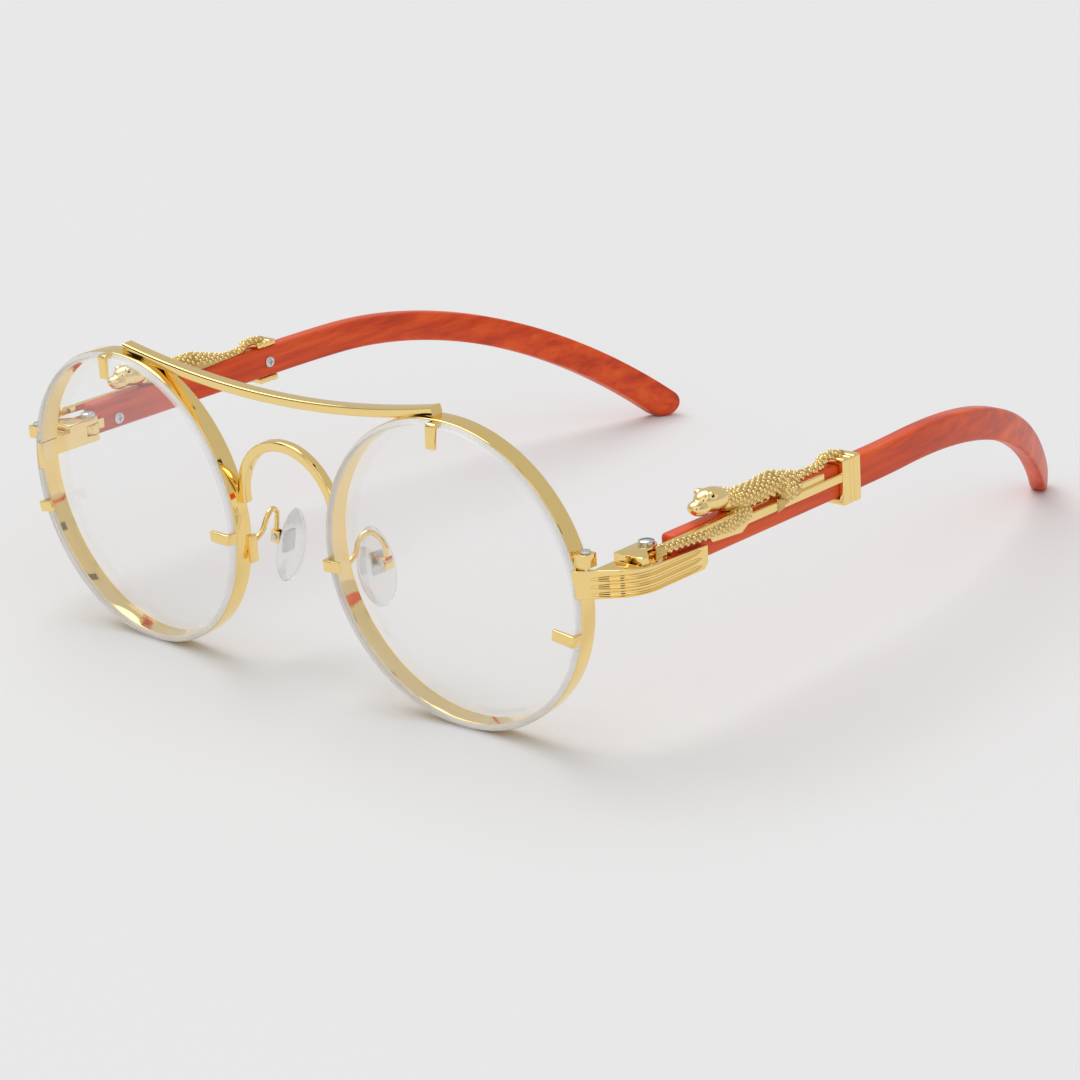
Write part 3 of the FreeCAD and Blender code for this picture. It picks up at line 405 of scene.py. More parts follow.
def carved(bm, cutter):
    """The first mesh with the second cut out of it."""
    first = make_object("carve_base", bm, [])
    second = make_object("carve_tool", cutter, [])
    cut = first.modifiers.new("cut", "BOOLEAN")
    cut.operation = "DIFFERENCE"
    cut.solver = "EXACT"
    cut.object = second
    result = bmesh.new()
    result.from_mesh(evaluated(first))
    for used in (first, second):
        mesh = used.data
        bpy.data.objects.remove(used)
        bpy.data.meshes.remove(mesh)
    bmesh.ops.remove_doubles(result, verts=result.verts, dist=1e-4)
    return result


def trim(bm, point, normal):
    """Cut away what lies beyond a plane and close the cut."""
    geom = list(bm.verts) + list(bm.edges) + list(bm.faces)
    made = bmesh.ops.bisect_plane(bm, geom=geom, dist=1e-5, plane_co=point, plane_no=normal, clear_outer=True)
    rim = [item for item in made["geom_cut"] if isinstance(item, bmesh.types.BMEdge)]
    if rim:
        bmesh.ops.edgenet_fill(bm, edges=rim)
        bmesh.ops.recalc_face_normals(bm, faces=bm.faces)


def pushed(bm, face, way):
    """Push a face out along a vector, leaving the walls behind it; gives the moved face."""
    made = bmesh.ops.extrude_face_region(bm, geom=[face])
    moved = [item for item in made["geom"] if isinstance(item, bmesh.types.BMVert)]
    bmesh.ops.translate(bm, vec=way, verts=moved)
    return next(item for item in made["geom"] if isinstance(item, bmesh.types.BMFace))


def make_object(name, bm, materials):
    """A smooth-shaded object from a mesh in metres, at the origin."""
    mesh = bpy.data.meshes.new(name)
    bmesh.ops.triangulate(bm, faces=[face for face in bm.faces if len(face.verts) > 4])
    for face in bm.faces:
        face.smooth = True
    bm.to_mesh(mesh)
    bm.free()
    for material in materials:
        mesh.materials.append(material)
    piece = bpy.data.objects.new(name, mesh)
    bpy.context.scene.collection.objects.link(piece)
    return piece


def wire(route, radius, thin=None):
    """A smooth round wire through points, each with its own share of the radius."""
    curve = bpy.data.curves.new("wire", "CURVE")
    curve.dimensions = "3D"
    curve.bevel_depth = radius
    curve.bevel_resolution = 6
    curve.use_fill_caps = True
    spline = curve.splines.new("BEZIER")
    spline.bezier_points.add(len(route) - 1)
    for knot, point, share in zip(spline.bezier_points, route, thin or [1.0] * len(route)):
        knot.co = point
        knot.radius = share
        knot.handle_left_type = knot.handle_right_type = "AUTO"
    spline.resolution_u = 12
    holder = bpy.data.objects.new("wire", curve)
    bpy.context.scene.collection.objects.link(holder)
    mesh = evaluated(holder)
    bm = bmesh.new()
    bm.from_mesh(mesh)
    bpy.data.objects.remove(holder)
    bpy.data.curves.remove(curve)
    bpy.data.meshes.remove(mesh)
    bmesh.ops.remove_doubles(bm, verts=bm.verts, dist=1e-4)
    bmesh.ops.recalc_face_normals(bm, faces=bm.faces)
    return bm


def mark_sharp(mesh, degrees):
    """Keep creases crisp where faces meet at more than an angle."""
    bm = bmesh.new()
    bm.from_mesh(mesh)
    limit = math.radians(degrees)
    for edge in bm.edges:
        edge.smooth = not (edge.is_manifold and edge.calc_face_angle(0.0) > limit)
    bm.to_mesh(mesh)
    bm.free()


def finish_piece(piece, body, nodes, sharp):
    """Tie a finished piece to its body and hide the nodes that it stands for."""
    mark_sharp(piece.data, sharp)
    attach(piece, body)
    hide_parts(*nodes)


def both_sides(name, bm, materials, body, sharp=32.0):
    """The left piece and its mirror image, each riding on its own body."""
    bmesh.ops.scale(bm, vec=(MM,) * 3, verts=bm.verts)
    twin = bm.copy()
    bmesh.ops.scale(twin, vec=(-1, 1, 1), verts=twin.verts)
    bmesh.ops.reverse_faces(twin, faces=twin.faces)
    for side, shape in zip(SIDES, (bm, twin)):
        piece = make_object("%s_%s_finish" % (side, name), shape, materials)
        rides_on = body if body == "front" else "%s_%s" % (side, body)
        finish_piece(piece, rides_on, ["%s_%s" % (side, name)], sharp)


def one_piece(name, bm, materials, body, sharp=32.0):
    """A piece on the middle plane."""
    bmesh.ops.scale(bm, vec=(MM,) * 3, verts=bm.verts)
    piece = make_object(name + "_finish", bm, materials)
    finish_piece(piece, body, [name], sharp)


# ------------------------------------------------------------------ rims, lenses, claws
RIM_STEPS = 240
SPLIT_WIDTH = 0.2
SPLIT_ABOVE_PLATE = 0.15
SPLIT_ANGLE = math.asin((plate_high.z + SPLIT_ABOVE_PLATE - RIM_CENTRE.z) / RIM_R)
SPLIT_GAP = SPLIT_WIDTH / RIM_R
Y_AXIS = (0, 1, 0)


def make_rims():
    """The flat band, with rounded edges, open at its split."""
    ring = rounded_rectangle(RIM_WALL, RIM_DEPTH, 0.22)
    profile = [(RIM_R - RIM_WALL / 2 + across, RIM_DEPTH / 2 + back, 0) for across, back in ring]
    bm = spun(profile, Y_AXIS, (0, 0, 0), -SPLIT_ANGLE - SPLIT_GAP / 2, -(2 * math.pi - SPLIT_GAP), RIM_STEPS)
    both_sides("rim", placed(bm, RIM_TURN, RIM_CENTRE), [GOLD], "front")


LENS_PROUD, LENS_BEVEL, LENS_EDGE = 1.0, 0.6, 2.2
FRONT_CURVE, REAR_CURVE = 130.0, 100.0
LENS_R = RIM_R - 0.1


def cap_depth(curve, edge, radius):
    """How far a spherical face falls from its level at the edge, at a distance from the axis."""
    return math.sqrt(curve ** 2 - radius ** 2) - math.sqrt(curve ** 2 - edge ** 2)


def lens_front(radius):
    """How far back the front of the lens lies, at a distance from its axis."""
    return -LENS_PROUD - cap_depth(FRONT_CURVE, LENS_R - LENS_BEVEL, radius)


def make_lenses():
    """The lens: polished faces and a frosted edge."""
    front_edge = LENS_R - LENS_BEVEL
    rear_edge = RIM_R - RIM_WALL - 0.05
    seat = -0.03
    rings = 14
    points = [(front_edge * step / rings, lens_front(front_edge * step / rings)) for step in range(rings + 1)]
    points += [(LENS_R, seat * 4), (LENS_R, seat), (rear_edge, seat), (rear_edge, LENS_EDGE)]
    for step in range(rings - 1, -1, -1):
        radius = rear_edge * step / rings
        points.append((radius, LENS_EDGE - cap_depth(REAR_CURVE, rear_edge, radius)))
    bm = turned_part(points, 144)
    for face in bm.faces:
        middle = face.calc_center_median()
        reach = math.hypot(middle.x, middle.y)
        face.material_index = 1 if reach > front_edge - 0.05 and middle.z < 0 else 0
    turn = RIM_TURN @ Matrix.Rotation(math.radians(-90), 3, "X")
    both_sides("lens", placed(bm, turn, RIM_CENTRE), [LENS, FROST], "front", sharp=12.0)


CLAW_ANGLES = (88.0, 184.5, -13.0)
CLAW_WIDTH, CLAW_REACH, CLAW_THICK, CLAW_GAP = 1.8, 3.9, 0.55, 0.1
CLAW_CORNER = 0.35


def make_claws():
    """Three small claws bent from the band's front edge over the lens."""
    tip = RIM_R - CLAW_REACH
    front = lens_front(RIM_R - 0.6) - CLAW_GAP - CLAW_THICK - CLAW_CORNER
    tip_front = lens_front(tip) - CLAW_GAP - CLAW_THICK
    section = [
        (RIM_R, 0.02), (RIM_R, front + 0.4), (RIM_R - CLAW_CORNER, front),
        (tip, tip_front), (tip, tip_front + CLAW_THICK), (RIM_R - 0.75, front + CLAW_THICK + 0.25),
        (RIM_R - CLAW_THICK, -CLAW_CORNER), (RIM_R - CLAW_THICK, 0.02),
    ]
    claws = []
    for angle in CLAW_ANGLES:
        points = [(across, back, -CLAW_WIDTH / 2) for across, back in section]
        claw = polygon_prism(points, (0, 0, CLAW_WIDTH), 0.14, 3)
        bmesh.ops.rotate(claw, cent=(0, 0, 0), matrix=Matrix.Rotation(math.radians(-angle), 3, "Y"),
                         verts=claw.verts)
        claws.append(claw)
    both_sides("lens_claws", placed(join(*claws), RIM_TURN, RIM_CENTRE), [GOLD], "front")


# ------------------------------------------------------------------ brow bar and bridge
def arc_strip(radius, centre_height, height, depth, back, half, corner):
    """A strip along an arc over the middle plane, reaching a half angle to each side of its top."""
    ring = rounded_rectangle(height, depth, corner)
    profile = [(0, back + depth / 2 + across, radius + up) for up, across in ring]
    step_length = 0.9
    steps = max(24, int(half * 2 * radius / step_length))
    bm = spun(profile, Y_AXIS, (0, 0, 0), -half, 2 * half, steps)
    bmesh.ops.translate(bm, vec=(0, 0, centre_height), verts=bm.verts)
    return bm


BAR_R, BAR_MIDDLE, BAR_HALF = 167.0, 22.1, 34.3
BAR_HIGH, BAR_DEEP = 1.5, 2.2
BRIDGE_R, BRIDGE_CENTRE = 10.3, 4.1
BRIDGE_WIRE, BRIDGE_HALF = 1.7, math.radians(94.0)


def make_brow_bar():
    """The brow bar dips between the rims, so its arc is centred above."""
    half = math.asin(BAR_HALF / BAR_R)
    bm = arc_strip(BAR_R, 0, BAR_HIGH, BAR_DEEP, RIM_DEPTH - BAR_DEEP, half, 0.3)
    bmesh.ops.scale(bm, vec=(1, 1, -1), verts=bm.verts)
    bmesh.ops.reverse_faces(bm, faces=bm.faces)
    bmesh.ops.translate(bm, vec=(0, 0, BAR_MIDDLE + BAR_R), verts=bm.verts)
    one_piece("brow_bar", placed(bm, LEAN, FRONT_CENTRE), [GOLD], "front")


def make_bridge():
    """The arched nose bridge, set in the middle of the rims' depth."""
    back = (RIM_DEPTH - BRIDGE_WIRE) / 2
    bm = arc_strip(BRIDGE_R, BRIDGE_CENTRE, BRIDGE_WIRE, BRIDGE_WIRE, back, BRIDGE_HALF, 0.35)
    one_piece("nose_bridge", placed(bm, LEAN, FRONT_CENTRE), [GOLD], "front")


# ------------------------------------------------------------------ end pieces
PLATE_THICK = 0.9
PLATE_BEND = 8.0
BEND_PLACE = 6.8
GROOVE_PITCH, GROOVE_R = 1.2, 0.46
PLATE_BOTTOM = plate_low.z
PLATE_OUTER = plate_high.x
PLATE_REAR = plate_high.y
TOP_FRONT, TOP_REAR = plate_high.z, plate_high.z - 1.0
RIM_SIDE = RIM_CENTRE.x + RIM_R


def plate_path():
    """The side plate's outer face in plan: front end, start of the bend, hub, turn and direction in front."""
    start = Vector((RIM_SIDE - 0.75, 0.25, 0))
    corner = Vector((PLATE_OUTER, BEND_PLACE, 0))
    lead = (corner - start).normalized()
    turn = math.atan2(lead.x, lead.y)
    reach = PLATE_BEND * math.tan(turn / 2)
    hub = Vector((PLATE_OUTER - PLATE_BEND, corner.y + reach, 0))
    return start, corner - lead * reach, hub, turn, lead


def make_end_pieces():
    """The side plate, bent round from the rim to run beside the hinge, with three tapered grooves."""
    start, bend, hub, turn, lead = plate_path()
    high = TOP_FRONT + 0.3
    bm = bmesh.new()
    corners = [(0, PLATE_BOTTOM), (0, high), (-PLATE_THICK, high), (-PLATE_THICK, PLATE_BOTTOM)]
    face = bm.faces.new([bm.verts.new((PLATE_OUTER + out, PLATE_REAR, up)) for out, up in corners])
    face = pushed(bm, face, Vector((0, hub.y - PLATE_REAR, 0)))
    geom = [face] + list(face.edges) + list(face.verts)
    made = bmesh.ops.spin(bm, geom=geom, cent=hub, axis=(0, 0, 1), angle=-turn, steps=20)
    face = next(item for item in made["geom_last"] if isinstance(item, bmesh.types.BMFace))
    pushed(bm, face, start - bend)
    bmesh.ops.remove_doubles(bm, verts=bm.verts, dist=1e-4)
    inner = [item for item in bm.faces if all(len(edge.link_faces) > 2 for edge in item.edges)]
    bmesh.ops.delete(bm, geom=inner, context="FACES")
    bmesh.ops.recalc_face_normals(bm, faces=bm.faces)
    trim(bm, Vector((0, PLATE_REAR, TOP_REAR)), Vector((0, 1.0, PLATE_REAR + 2.0)).normalized())
    trim(bm, Vector((0, PLATE_REAR, PLATE_BOTTOM + 0.9)), Vector((0, 1, -1)).normalized())
    bevel(bm, sharp_edges(bm, 50), 0.16, 4)
    middle = (PLATE_BOTTOM + TOP_REAR) / 2 + 0.1
    for step in (-1, 0, 1):
        bm = carved(bm, groove_tool(middle + step * GROOVE_PITCH))
    both_sides("end_piece", bm, [GOLD], "front", sharp=24.0)


def groove_tool(height):
    """A tapering rod along the plate's outer face, at a height."""
    start, bend, hub, turn, lead = plate_path()
    points = [start + lead * 2.6]
    points += [start.lerp(bend, share) for share in (0.6, 0.85)]
    for step in range(7):
        angle = turn * (1 - step / 6)
        points.append(hub + Vector((PLATE_BEND * math.cos(angle), -PLATE_BEND * math.sin(angle), 0)))
    points += [Vector((PLATE_OUTER, PLATE_REAR - rest, 0)) for rest in (7.0, 4.5, 2.6, 1.5)]
    raised = [point + Vector((0, 0, height)) for point in points]
    thin = [0.3, 0.75] + [1.0] * (len(points) - 4) + [0.8, 0.2]
    return wire(raised, GROOVE_R, thin)


def make_rim_locks():
    """The block and the screw that close the split rim."""
    both_sides("rim_lock", softened("left_rim_lock", 0.14, 3), [GOLD], "front")
    both_sides("lock_screw", softened("left_lock_screw", 0.06), [STEEL], "front")


# ------------------------------------------------------------------ hinge
def slotted_head(radius, height, dome, slot_wide, slot_deep):
    """A screw head with a domed top and a cut slot, standing on Z = 0."""
    wall = height * 0.62
    rings = [(0, 0), (radius, 0), (radius, wall)]
    for degrees in (20, 40, 60, 78):
        angle = math.radians(degrees)
        rings.append((radius * math.cos(angle), wall + (height - wall) * math.sin(angle)))
    rings += [(0, height + dome)]
    low = (-radius * 1.2, -slot_wide / 2, height - slot_deep)
    high = (radius * 1.2, slot_wide / 2, height + 1)
    return carved(turned_part(rings, 40), block(low, high, 0))


def make_hinges():
    """The two leaves and the screw that they turn on."""
    both_sides("hinge_front_leaf", softened("left_hinge_front_leaf", 0.1), [GOLD], "front")
    both_sides("hinge_temple_leaf", softened("left_hinge_temple_leaf", 0.08), [GOLD], "temple")
    centre = (screw_low + screw_high) / 2
    radius = (screw_high.x - screw_low.x) / 2
    head_high, shank_r = 0.8, 0.6
    head = slotted_head(radius, head_high, 0.05, 0.3, 0.35)
    bmesh.ops.rotate(head, cent=(0, 0, 0), matrix=Matrix.Rotation(0.6, 3, "Z"), verts=head.verts)
    bmesh.ops.translate(head, vec=(centre.x, centre.y, screw_high.z - 0.85), verts=head.verts)
    length = screw_high.z - screw_low.z - head_high
    shank = turned_part([(0, 0), (shank_r - 0.05, 0), (shank_r, 0.05), (shank_r, length), (0, length)], 24)
    bmesh.ops.translate(shank, vec=(centre.x, centre.y, screw_low.z), verts=shank.verts)
    both_sides("hinge_screw", join(head, shank), [STEEL], "front")


# ------------------------------------------------------------------ wooden arms
WOOD_ROUNDING = 0.8


def bent(point):
    """Where a point of a straight arm goes when the arm is bent down and tucked in."""
    out = point.x - WOOD_X
    along, up = point.y, point.z - WOOD_Z
    if along > EAR_BEND:
        angle = (along - EAR_BEND) / EAR_R
        y = EAR_BEND + (EAR_R + up) * math.sin(angle)
        z = WOOD_Z - EAR_R + (EAR_R + up) * math.cos(angle)
    else:
        y, z = along, WOOD_Z + up
    x = WOOD_X + out
    if y > TUCK_BEND:
        x = WOOD_X - TUCK_R + math.sqrt((TUCK_R + out) ** 2 - (y - TUCK_BEND) ** 2)
    return Vector((x, y, z))


def make_arms():
    """The wooden arm: a rounded bar with a round tip, bent as a whole."""
    drop = EAR_R - (WOOD_Z - WOOD_DEEP / 2)
    length = EAR_BEND + EAR_R * math.acos(drop / EAR_R) + WOOD_DEEP / 2
    low = Vector((WOOD_X - WOOD_THICK / 2, WOOD_FRONT, WOOD_Z - WOOD_DEEP / 2))
    high = Vector((WOOD_X + WOOD_THICK / 2, length, WOOD_Z + WOOD_DEEP / 2))
    bm = block(low, high, 0)
    tip = [edge for edge in bm.edges if all(vert.co.y > length - 0.1 for vert in edge.verts)
           and abs(edge.verts[0].co.z - edge.verts[1].co.z) < 0.1]
    bevel(bm, tip, WOOD_DEEP / 2 - 0.02, 14)
    bevel(bm, sharp_edges(bm, 60), WOOD_ROUNDING, 5)
    cuts = 90
    for step in range(1, cuts):
        place = WOOD_FRONT + 1.0 + (length - WOOD_DEEP - WOOD_FRONT) * step / cuts
        geom = list(bm.verts) + list(bm.edges) + list(bm.faces)
        bmesh.ops.bisect_plane(bm, geom=geom, dist=1e-5, plane_co=(0, place, 0), plane_no=(0, 1, 0))
    for vert in bm.verts:
        vert.co = bent(vert.co)
    both_sides("temple_arm", bm, [WOOD], "temple", sharp=50.0)


# ------------------------------------------------------------------ clamp, rail and screws
CLAMP_WALL = 1.1
CLAMP_RIBS = (1.7, 1.0, 1.7)


def clamp_section(place, wall, gap, inset):
    """A C round the arm's top, outer side and bottom, as points across the arm at a place along it."""
    side = WOOD_OUTER
    low, high = WOOD_Z - WOOD_DEEP / 2, WOOD_Z + WOOD_DEEP / 2
    lip = side - WOOD_THICK + 0.2 + inset
    outline = [
        (side + wall, low - wall), (side + wall, high + wall), (lip, high + wall), (lip, high + gap),
        (side + gap, high + gap), (side + gap, low - gap), (lip, low - gap), (lip, low - wall),
    ]
    return [(across, place, up) for across, up in outline]


def make_clamps():
    """The clamp at the rear of the rail: three rounded ribs on a thinner core."""
    ribs = []
    place = clamp_low.y
    for width in CLAMP_RIBS:
        ribs.append(polygon_prism(clamp_section(place, CLAMP_WALL, 0.01, 0), (0, width, 0), 0.36, 4))
        place += width
    sunk = 0.3
    core = clamp_section(clamp_low.y + sunk, CLAMP_WALL - sunk, 0.1, 0.1)
    ribs.append(polygon_prism(core, (0, sum(CLAMP_RIBS) - 2 * sunk, 0), 0.05, 2))
    both_sides("temple_clamp", join(*ribs), [GOLD], "temple")


def make_rails():
    """The rail along the arm's outer face."""
    both_sides("side_rail", softened("left_side_rail", 0.25, 4), [GOLD], "temple")


def cross_head():
    """A low round head with a cross recess, and its shank below it."""
    radius, height, shank_r, shank_long = 1.0, 0.45, 0.5, 2.0
    recess_wide, recess_long, recess_deep = 0.26, 1.1, 0.3
    head = turned_part([
        (0, -shank_long), (shank_r, -shank_long), (shank_r, 0), (radius, 0), (radius, height * 0.5),
        (radius * 0.9, height * 0.82), (radius * 0.7, height * 0.97), (0, height),
    ], 40)
    for wide, long in ((recess_wide, recess_long), (recess_long, recess_wide)):
        low = (-wide / 2, -long / 2, height - recess_deep)
        head = carved(head, block(low, (wide / 2, long / 2, height + 1), 0))
    return head, radius, height


def make_temple_screws():
    """Two cross-head screws on the inner face of the arm."""
    low, high = span("left_temple_screws")
    sideways = Matrix.Rotation(math.radians(-90), 3, "Y")
    screws = []
    for rear in (False, True):
        head, radius, height = cross_head()
        place = (high.y - radius, WOOD_Z) if rear else (low.y + radius, low.z + radius)
        screws.append(placed(head, sideways, Vector((low.x + height, *place))))
    both_sides("temple_screws", join(*screws), [STEEL], "temple")


# ------------------------------------------------------------------ salamander
def ball_chain(points):
    """A limb of tapering segments between (centre, radius) points."""
    parts = []
    for (begin, first), (end, second) in zip(points, points[1:]):
        begin, end = Vector(begin), Vector(end)
        count = max(3, int((end - begin).length / 0.5))
        for step in range(count + 1):
            share = step / count
            ball = bmesh.new()
            bmesh.ops.create_icosphere(ball, subdivisions=3, radius=first + (second - first) * share)
            bmesh.ops.translate(ball, vec=begin.lerp(end, share), verts=ball.verts)
            parts.append(ball)
    return parts


def egg(centre, half, turn=None):
    """An ellipsoid."""
    bm = bmesh.new()
    bmesh.ops.create_icosphere(bm, subdivisions=4, radius=1.0)
    bmesh.ops.scale(bm, vec=half, verts=bm.verts)
    if turn:
        bmesh.ops.rotate(bm, cent=(0, 0, 0), matrix=turn, verts=bm.verts)
    bmesh.ops.translate(bm, vec=centre, verts=bm.verts)
    return bm


def melted(bm, voxel, smooth):
    """Overlapping closed shells melted into one smooth skin."""
    piece = make_object("melt", bm, [])
    remesh = piece.modifiers.new("remesh", "REMESH")
    remesh.mode = "VOXEL"
    remesh.voxel_size = voxel
    relax = piece.modifiers.new("relax", "SMOOTH")
    relax.iterations = smooth
    relax.factor = 0.5
    mesh = evaluated(piece)
    result = bmesh.new()
    result.from_mesh(mesh)
    used = piece.data
    bpy.data.objects.remove(piece)
    bpy.data.meshes.remove(used)
    bpy.data.meshes.remove(mesh)
    return result


TAIL_REAR = clamp_low.y
NECK = 28.6  # the head lies in front of this place along the arm
TRUNK_UP, LEG_UP = Vector((0.35, 0, 1)), Vector((1.0, 0, 0.5))
SKIN_FACE, BRIGHT_FACE, EYE_FACE = range(3)


def salamander_lines():
    """Centre lines and radii of the animal's trunk and limbs, for the left arm."""
    top, side, middle = WOOD_TOP, WOOD_OUTER, WOOD_X
    trunk = [
        ((middle + 0.2, NECK, top + 1.6), 1.6),
        ((middle + 0.4, 31.5, top + 1.0), 1.9),
        ((middle + 0.4, 35.5, top + 0.9), 1.9),
        ((middle + 0.1, 40.2, top + 1.0), 2.05),
        ((middle + 0.1, 44.3, top + 0.4), 1.5),
        ((middle, 47.8, top + 0.1), 0.9),
        ((middle, TAIL_REAR - 3.4, top + 0.3), 0.75),
        ((middle, TAIL_REAR - 1.7, top + 1.35), 0.72),
        ((middle, TAIL_REAR + 0.2, clamp_high.z + 0.35), 0.7),
        ((middle + 0.4, TAIL_REAR + 2.4, clamp_high.z + 0.1), 0.55),
    ]
    foreleg = [
        ((side - 0.2, 32.0, top - 0.9), 1.5),
        ((side + 0.5, 27.8, top - 1.5), 1.2),
        ((side + 0.75, 22.6, top - 1.3), 0.8),
        ((side + 0.75, 16.0, top - 0.85), 0.7),
        ((side + 0.75, 11.6, top - 0.7), 0.65),
    ]
    hind = [
        ((side - 0.3, 41.5, top - 0.2), 1.6),
        ((side + 0.2, 44.0, top - 0.6), 1.2),
        ((side + 0.55, 40.4, top - 1.75), 0.55),
    ]
    return trunk, foreleg, hind


def beads_along(skin, line, spacing, size, rows, fan, centre_up):
    """Staggered rows of beads on the skin round a limb, within a half angle of its upper side."""
    tree = BVHTree.FromBMesh(skin)
    beads = []
    number = 0
    for (begin, first), (end, second) in zip(line, line[1:]):
        begin, end = Vector(begin), Vector(end)
        way = end - begin
        count = max(1, round(way.length / spacing))
        for step in range(count):
            share = step / count
            core = begin.lerp(end, share)
            radius = first + (second - first) * share
            ring = max(2, round(rows * radius))
            along = way.normalized()
            up = (centre_up - along * centre_up.dot(along)).normalized()
            number += 1
            for index in range(ring + 1):
                shift = 0.5 if number % 2 else 0.0
                angle = -fan + 2 * fan * (index + shift) / ring
                if angle > fan:
                    continue
                out = Quaternion(along, angle) @ up
                hit, normal, _, _ = tree.ray_cast(core + out * (radius * 3 + 2), -out)
                if hit is None or (hit - core).length > radius * 1.9:
                    continue
                beads.append((hit, normal, size * random.uniform(0.85, 1.1)))
    return beads


def bead_mesh(beads, sunk=0.25):
    """Small balls sunk into the skin, dropped where two would sit on each other."""
    bm = bmesh.new()
    kept = []
    for place, normal, size in beads:
        if any((place - other).length < size * 1.45 for other in kept):
            continue
        kept.append(place)
        spot = place - normal * size * sunk
        bmesh.ops.create_uvsphere(bm, u_segments=8, v_segments=6, radius=size,
                                  matrix=Matrix.Translation(spot))
    return bm


def salamander_skin(lines):
    """Trunk, limbs, head and toes melted into one skin, with the mouth cut in."""
    top, head = WOOD_TOP, WOOD_X + 0.1
    nod = Matrix.Rotation(math.radians(-8), 3, "X")
    parts = [ball for line in lines for ball in ball_chain(line)]
    parts.append(egg((head, 26.3, top + 2.6), (2.1, 3.6, 1.9), nod))
    parts.append(egg((head, 23.4, top + 2.05), (1.6, 2.2, 1.25), nod))
    for out in (-1, 1):
        parts.append(egg((head + out * 1.3, 25.0, top + 3.85), (0.65, 0.9, 0.6), nod))
    parts += toes()
    skin = melted(join(*parts), 0.13, 3)
    mouth = [Vector((head + out, along, top + 1.6 + rise)) for out, along, rise in (
        (-2.0, 25.9, 0.1), (-1.65, 23.6, -0.05), (-1.05, 22.1, -0.1), (0, 21.2, -0.1), (1.05, 22.1, -0.1),
        (1.65, 23.6, -0.05), (2.0, 25.9, 0.1))]
    return carved(skin, wire(mouth, 0.22))


def salamander_beads(skin, trunk, foreleg, hind):
    """The beads of the trunk, the neck and the legs."""
    beads = beads_along(skin, trunk[1:], 0.78, 0.36, 3.6, math.radians(100), TRUNK_UP)
    beads += beads_along(skin, trunk[:2], 0.78, 0.34, 3.6, math.radians(75), TRUNK_UP)
    beads += beads_along(skin, foreleg, 0.66, 0.29, 3.2, math.radians(75), LEG_UP)
    beads += beads_along(skin, hind[:2], 0.7, 0.33, 3.4, math.radians(70), LEG_UP)
    return bead_mesh(beads)


def make_salamanders():
    """The beaded animal along the top of the arm, with a smooth strip under its tail."""
    random.seed(7)
    top, side = WOOD_TOP, WOOD_OUTER
    lines = salamander_lines()
    skin = salamander_skin(lines)
    beads = salamander_beads(skin, *lines)
    cut_low(skin, side, top)
    brighten_head(skin)
    strip = block((side - 0.1, 43.5, top - 1.2), (side + 0.5, TAIL_REAR - 4.0, top - 0.05), 0.2, 3)
    parts = [skin, finished(beads, BRIGHT_FACE), finished(strip, BRIGHT_FACE)]
    for out in (-1, 1):
        eye = egg((WOOD_X + 0.1 + out * 1.58, 24.7, top + 3.85), (0.34, 0.4, 0.34))
        parts.append(finished(eye, EYE_FACE))
    both_sides("salamander", join(*parts), [RECESS_GOLD, BEAD_GOLD, EYE], "temple", sharp=60.0)


def finished(bm, finish):
    """The mesh with one of the animal's finishes on every face."""
    for face in bm.faces:
        face.material_index = finish
    return bm


def brighten_head(bm):
    """The head, in front of the neck and above the foreleg, is bright like the beads."""
    for face in bm.faces:
        middle = face.calc_center_median()
        bright = middle.y < NECK and middle.z > WOOD_TOP + 0.3
        face.material_index = BRIGHT_FACE if bright else SKIN_FACE


def toes():
    """Four short toes at the end of each leg that shows."""
    top, side = WOOD_TOP, WOOD_OUTER
    feet = (
        (Vector((side + 1.0, 11.9, top - 0.75)), 1.5, 0.5),
        (Vector((side + 0.75, 40.3, top - 1.75)), 1.3, 0.45),
    )
    made = []
    for foot, reach, fan in feet:
        for spread in (-0.75, -0.25, 0.25, 0.75):
            near = foot + Vector((0, 0, spread * 0.7))
            far = near + Vector((0.1, -reach, spread * fan))
            made += ball_chain([(near, 0.36), (far, 0.26)])
    return made


def cut_low(bm, side, top):
    """Flatten what would reach into the wood, so the animal sits on the arm."""
    for vert in bm.verts:
        if vert.co.x < side and vert.co.z < top:
            if top - vert.co.z < side - vert.co.x:
                vert.co.z = top
            else:
                vert.co.x = side


# ------------------------------------------------------------------ nose pads
PAD_SLANT, PAD_SPLAY = math.radians(12.0), math.radians(8.0)
PAD_TURN = Matrix.Rotation(-PAD_SPLAY, 3, "Z") @ Matrix.Rotation(-PAD_SLANT, 3, "Y")
PAD_CENTRE = Vector((9.6, 9.7, 18.8))
PAD_HIGH, PAD_WIDE, PAD_THICK = 6.5, 3.7, 2.6


def make_pads():
    """The clear drop-shaped cushion, its metal core, box, screw and wire arm."""
    bm = bmesh.new()
    bmesh.ops.create_uvsphere(bm, u_segments=48, v_segments=32, radius=1.0)
    for vert in bm.verts:
        high = vert.co.z
        swell = 1.0 - 0.16 * max(0.0, high) - 0.02 * high
        thick = PAD_THICK * (0.5 if vert.co.x < 0 else 0.225)
        vert.co = Vector((vert.co.x * thick, vert.co.y * PAD_WIDE * swell, high * PAD_HIGH))
    both_sides("nose_pad", placed(bm, PAD_TURN, PAD_CENTRE), [PAD], "pad")
    both_sides("pad_core", softened("left_pad_core", 0.05), [STEEL], "pad")
    both_sides("pad_box", softened("left_pad_box", 0.12, 3), [GOLD], "front")
    both_sides("pad_screw", softened("left_pad_screw", 0.05), [STEEL], "front")
    both_sides("pad_arm", pad_arm_shape(), [GOLD], "front")


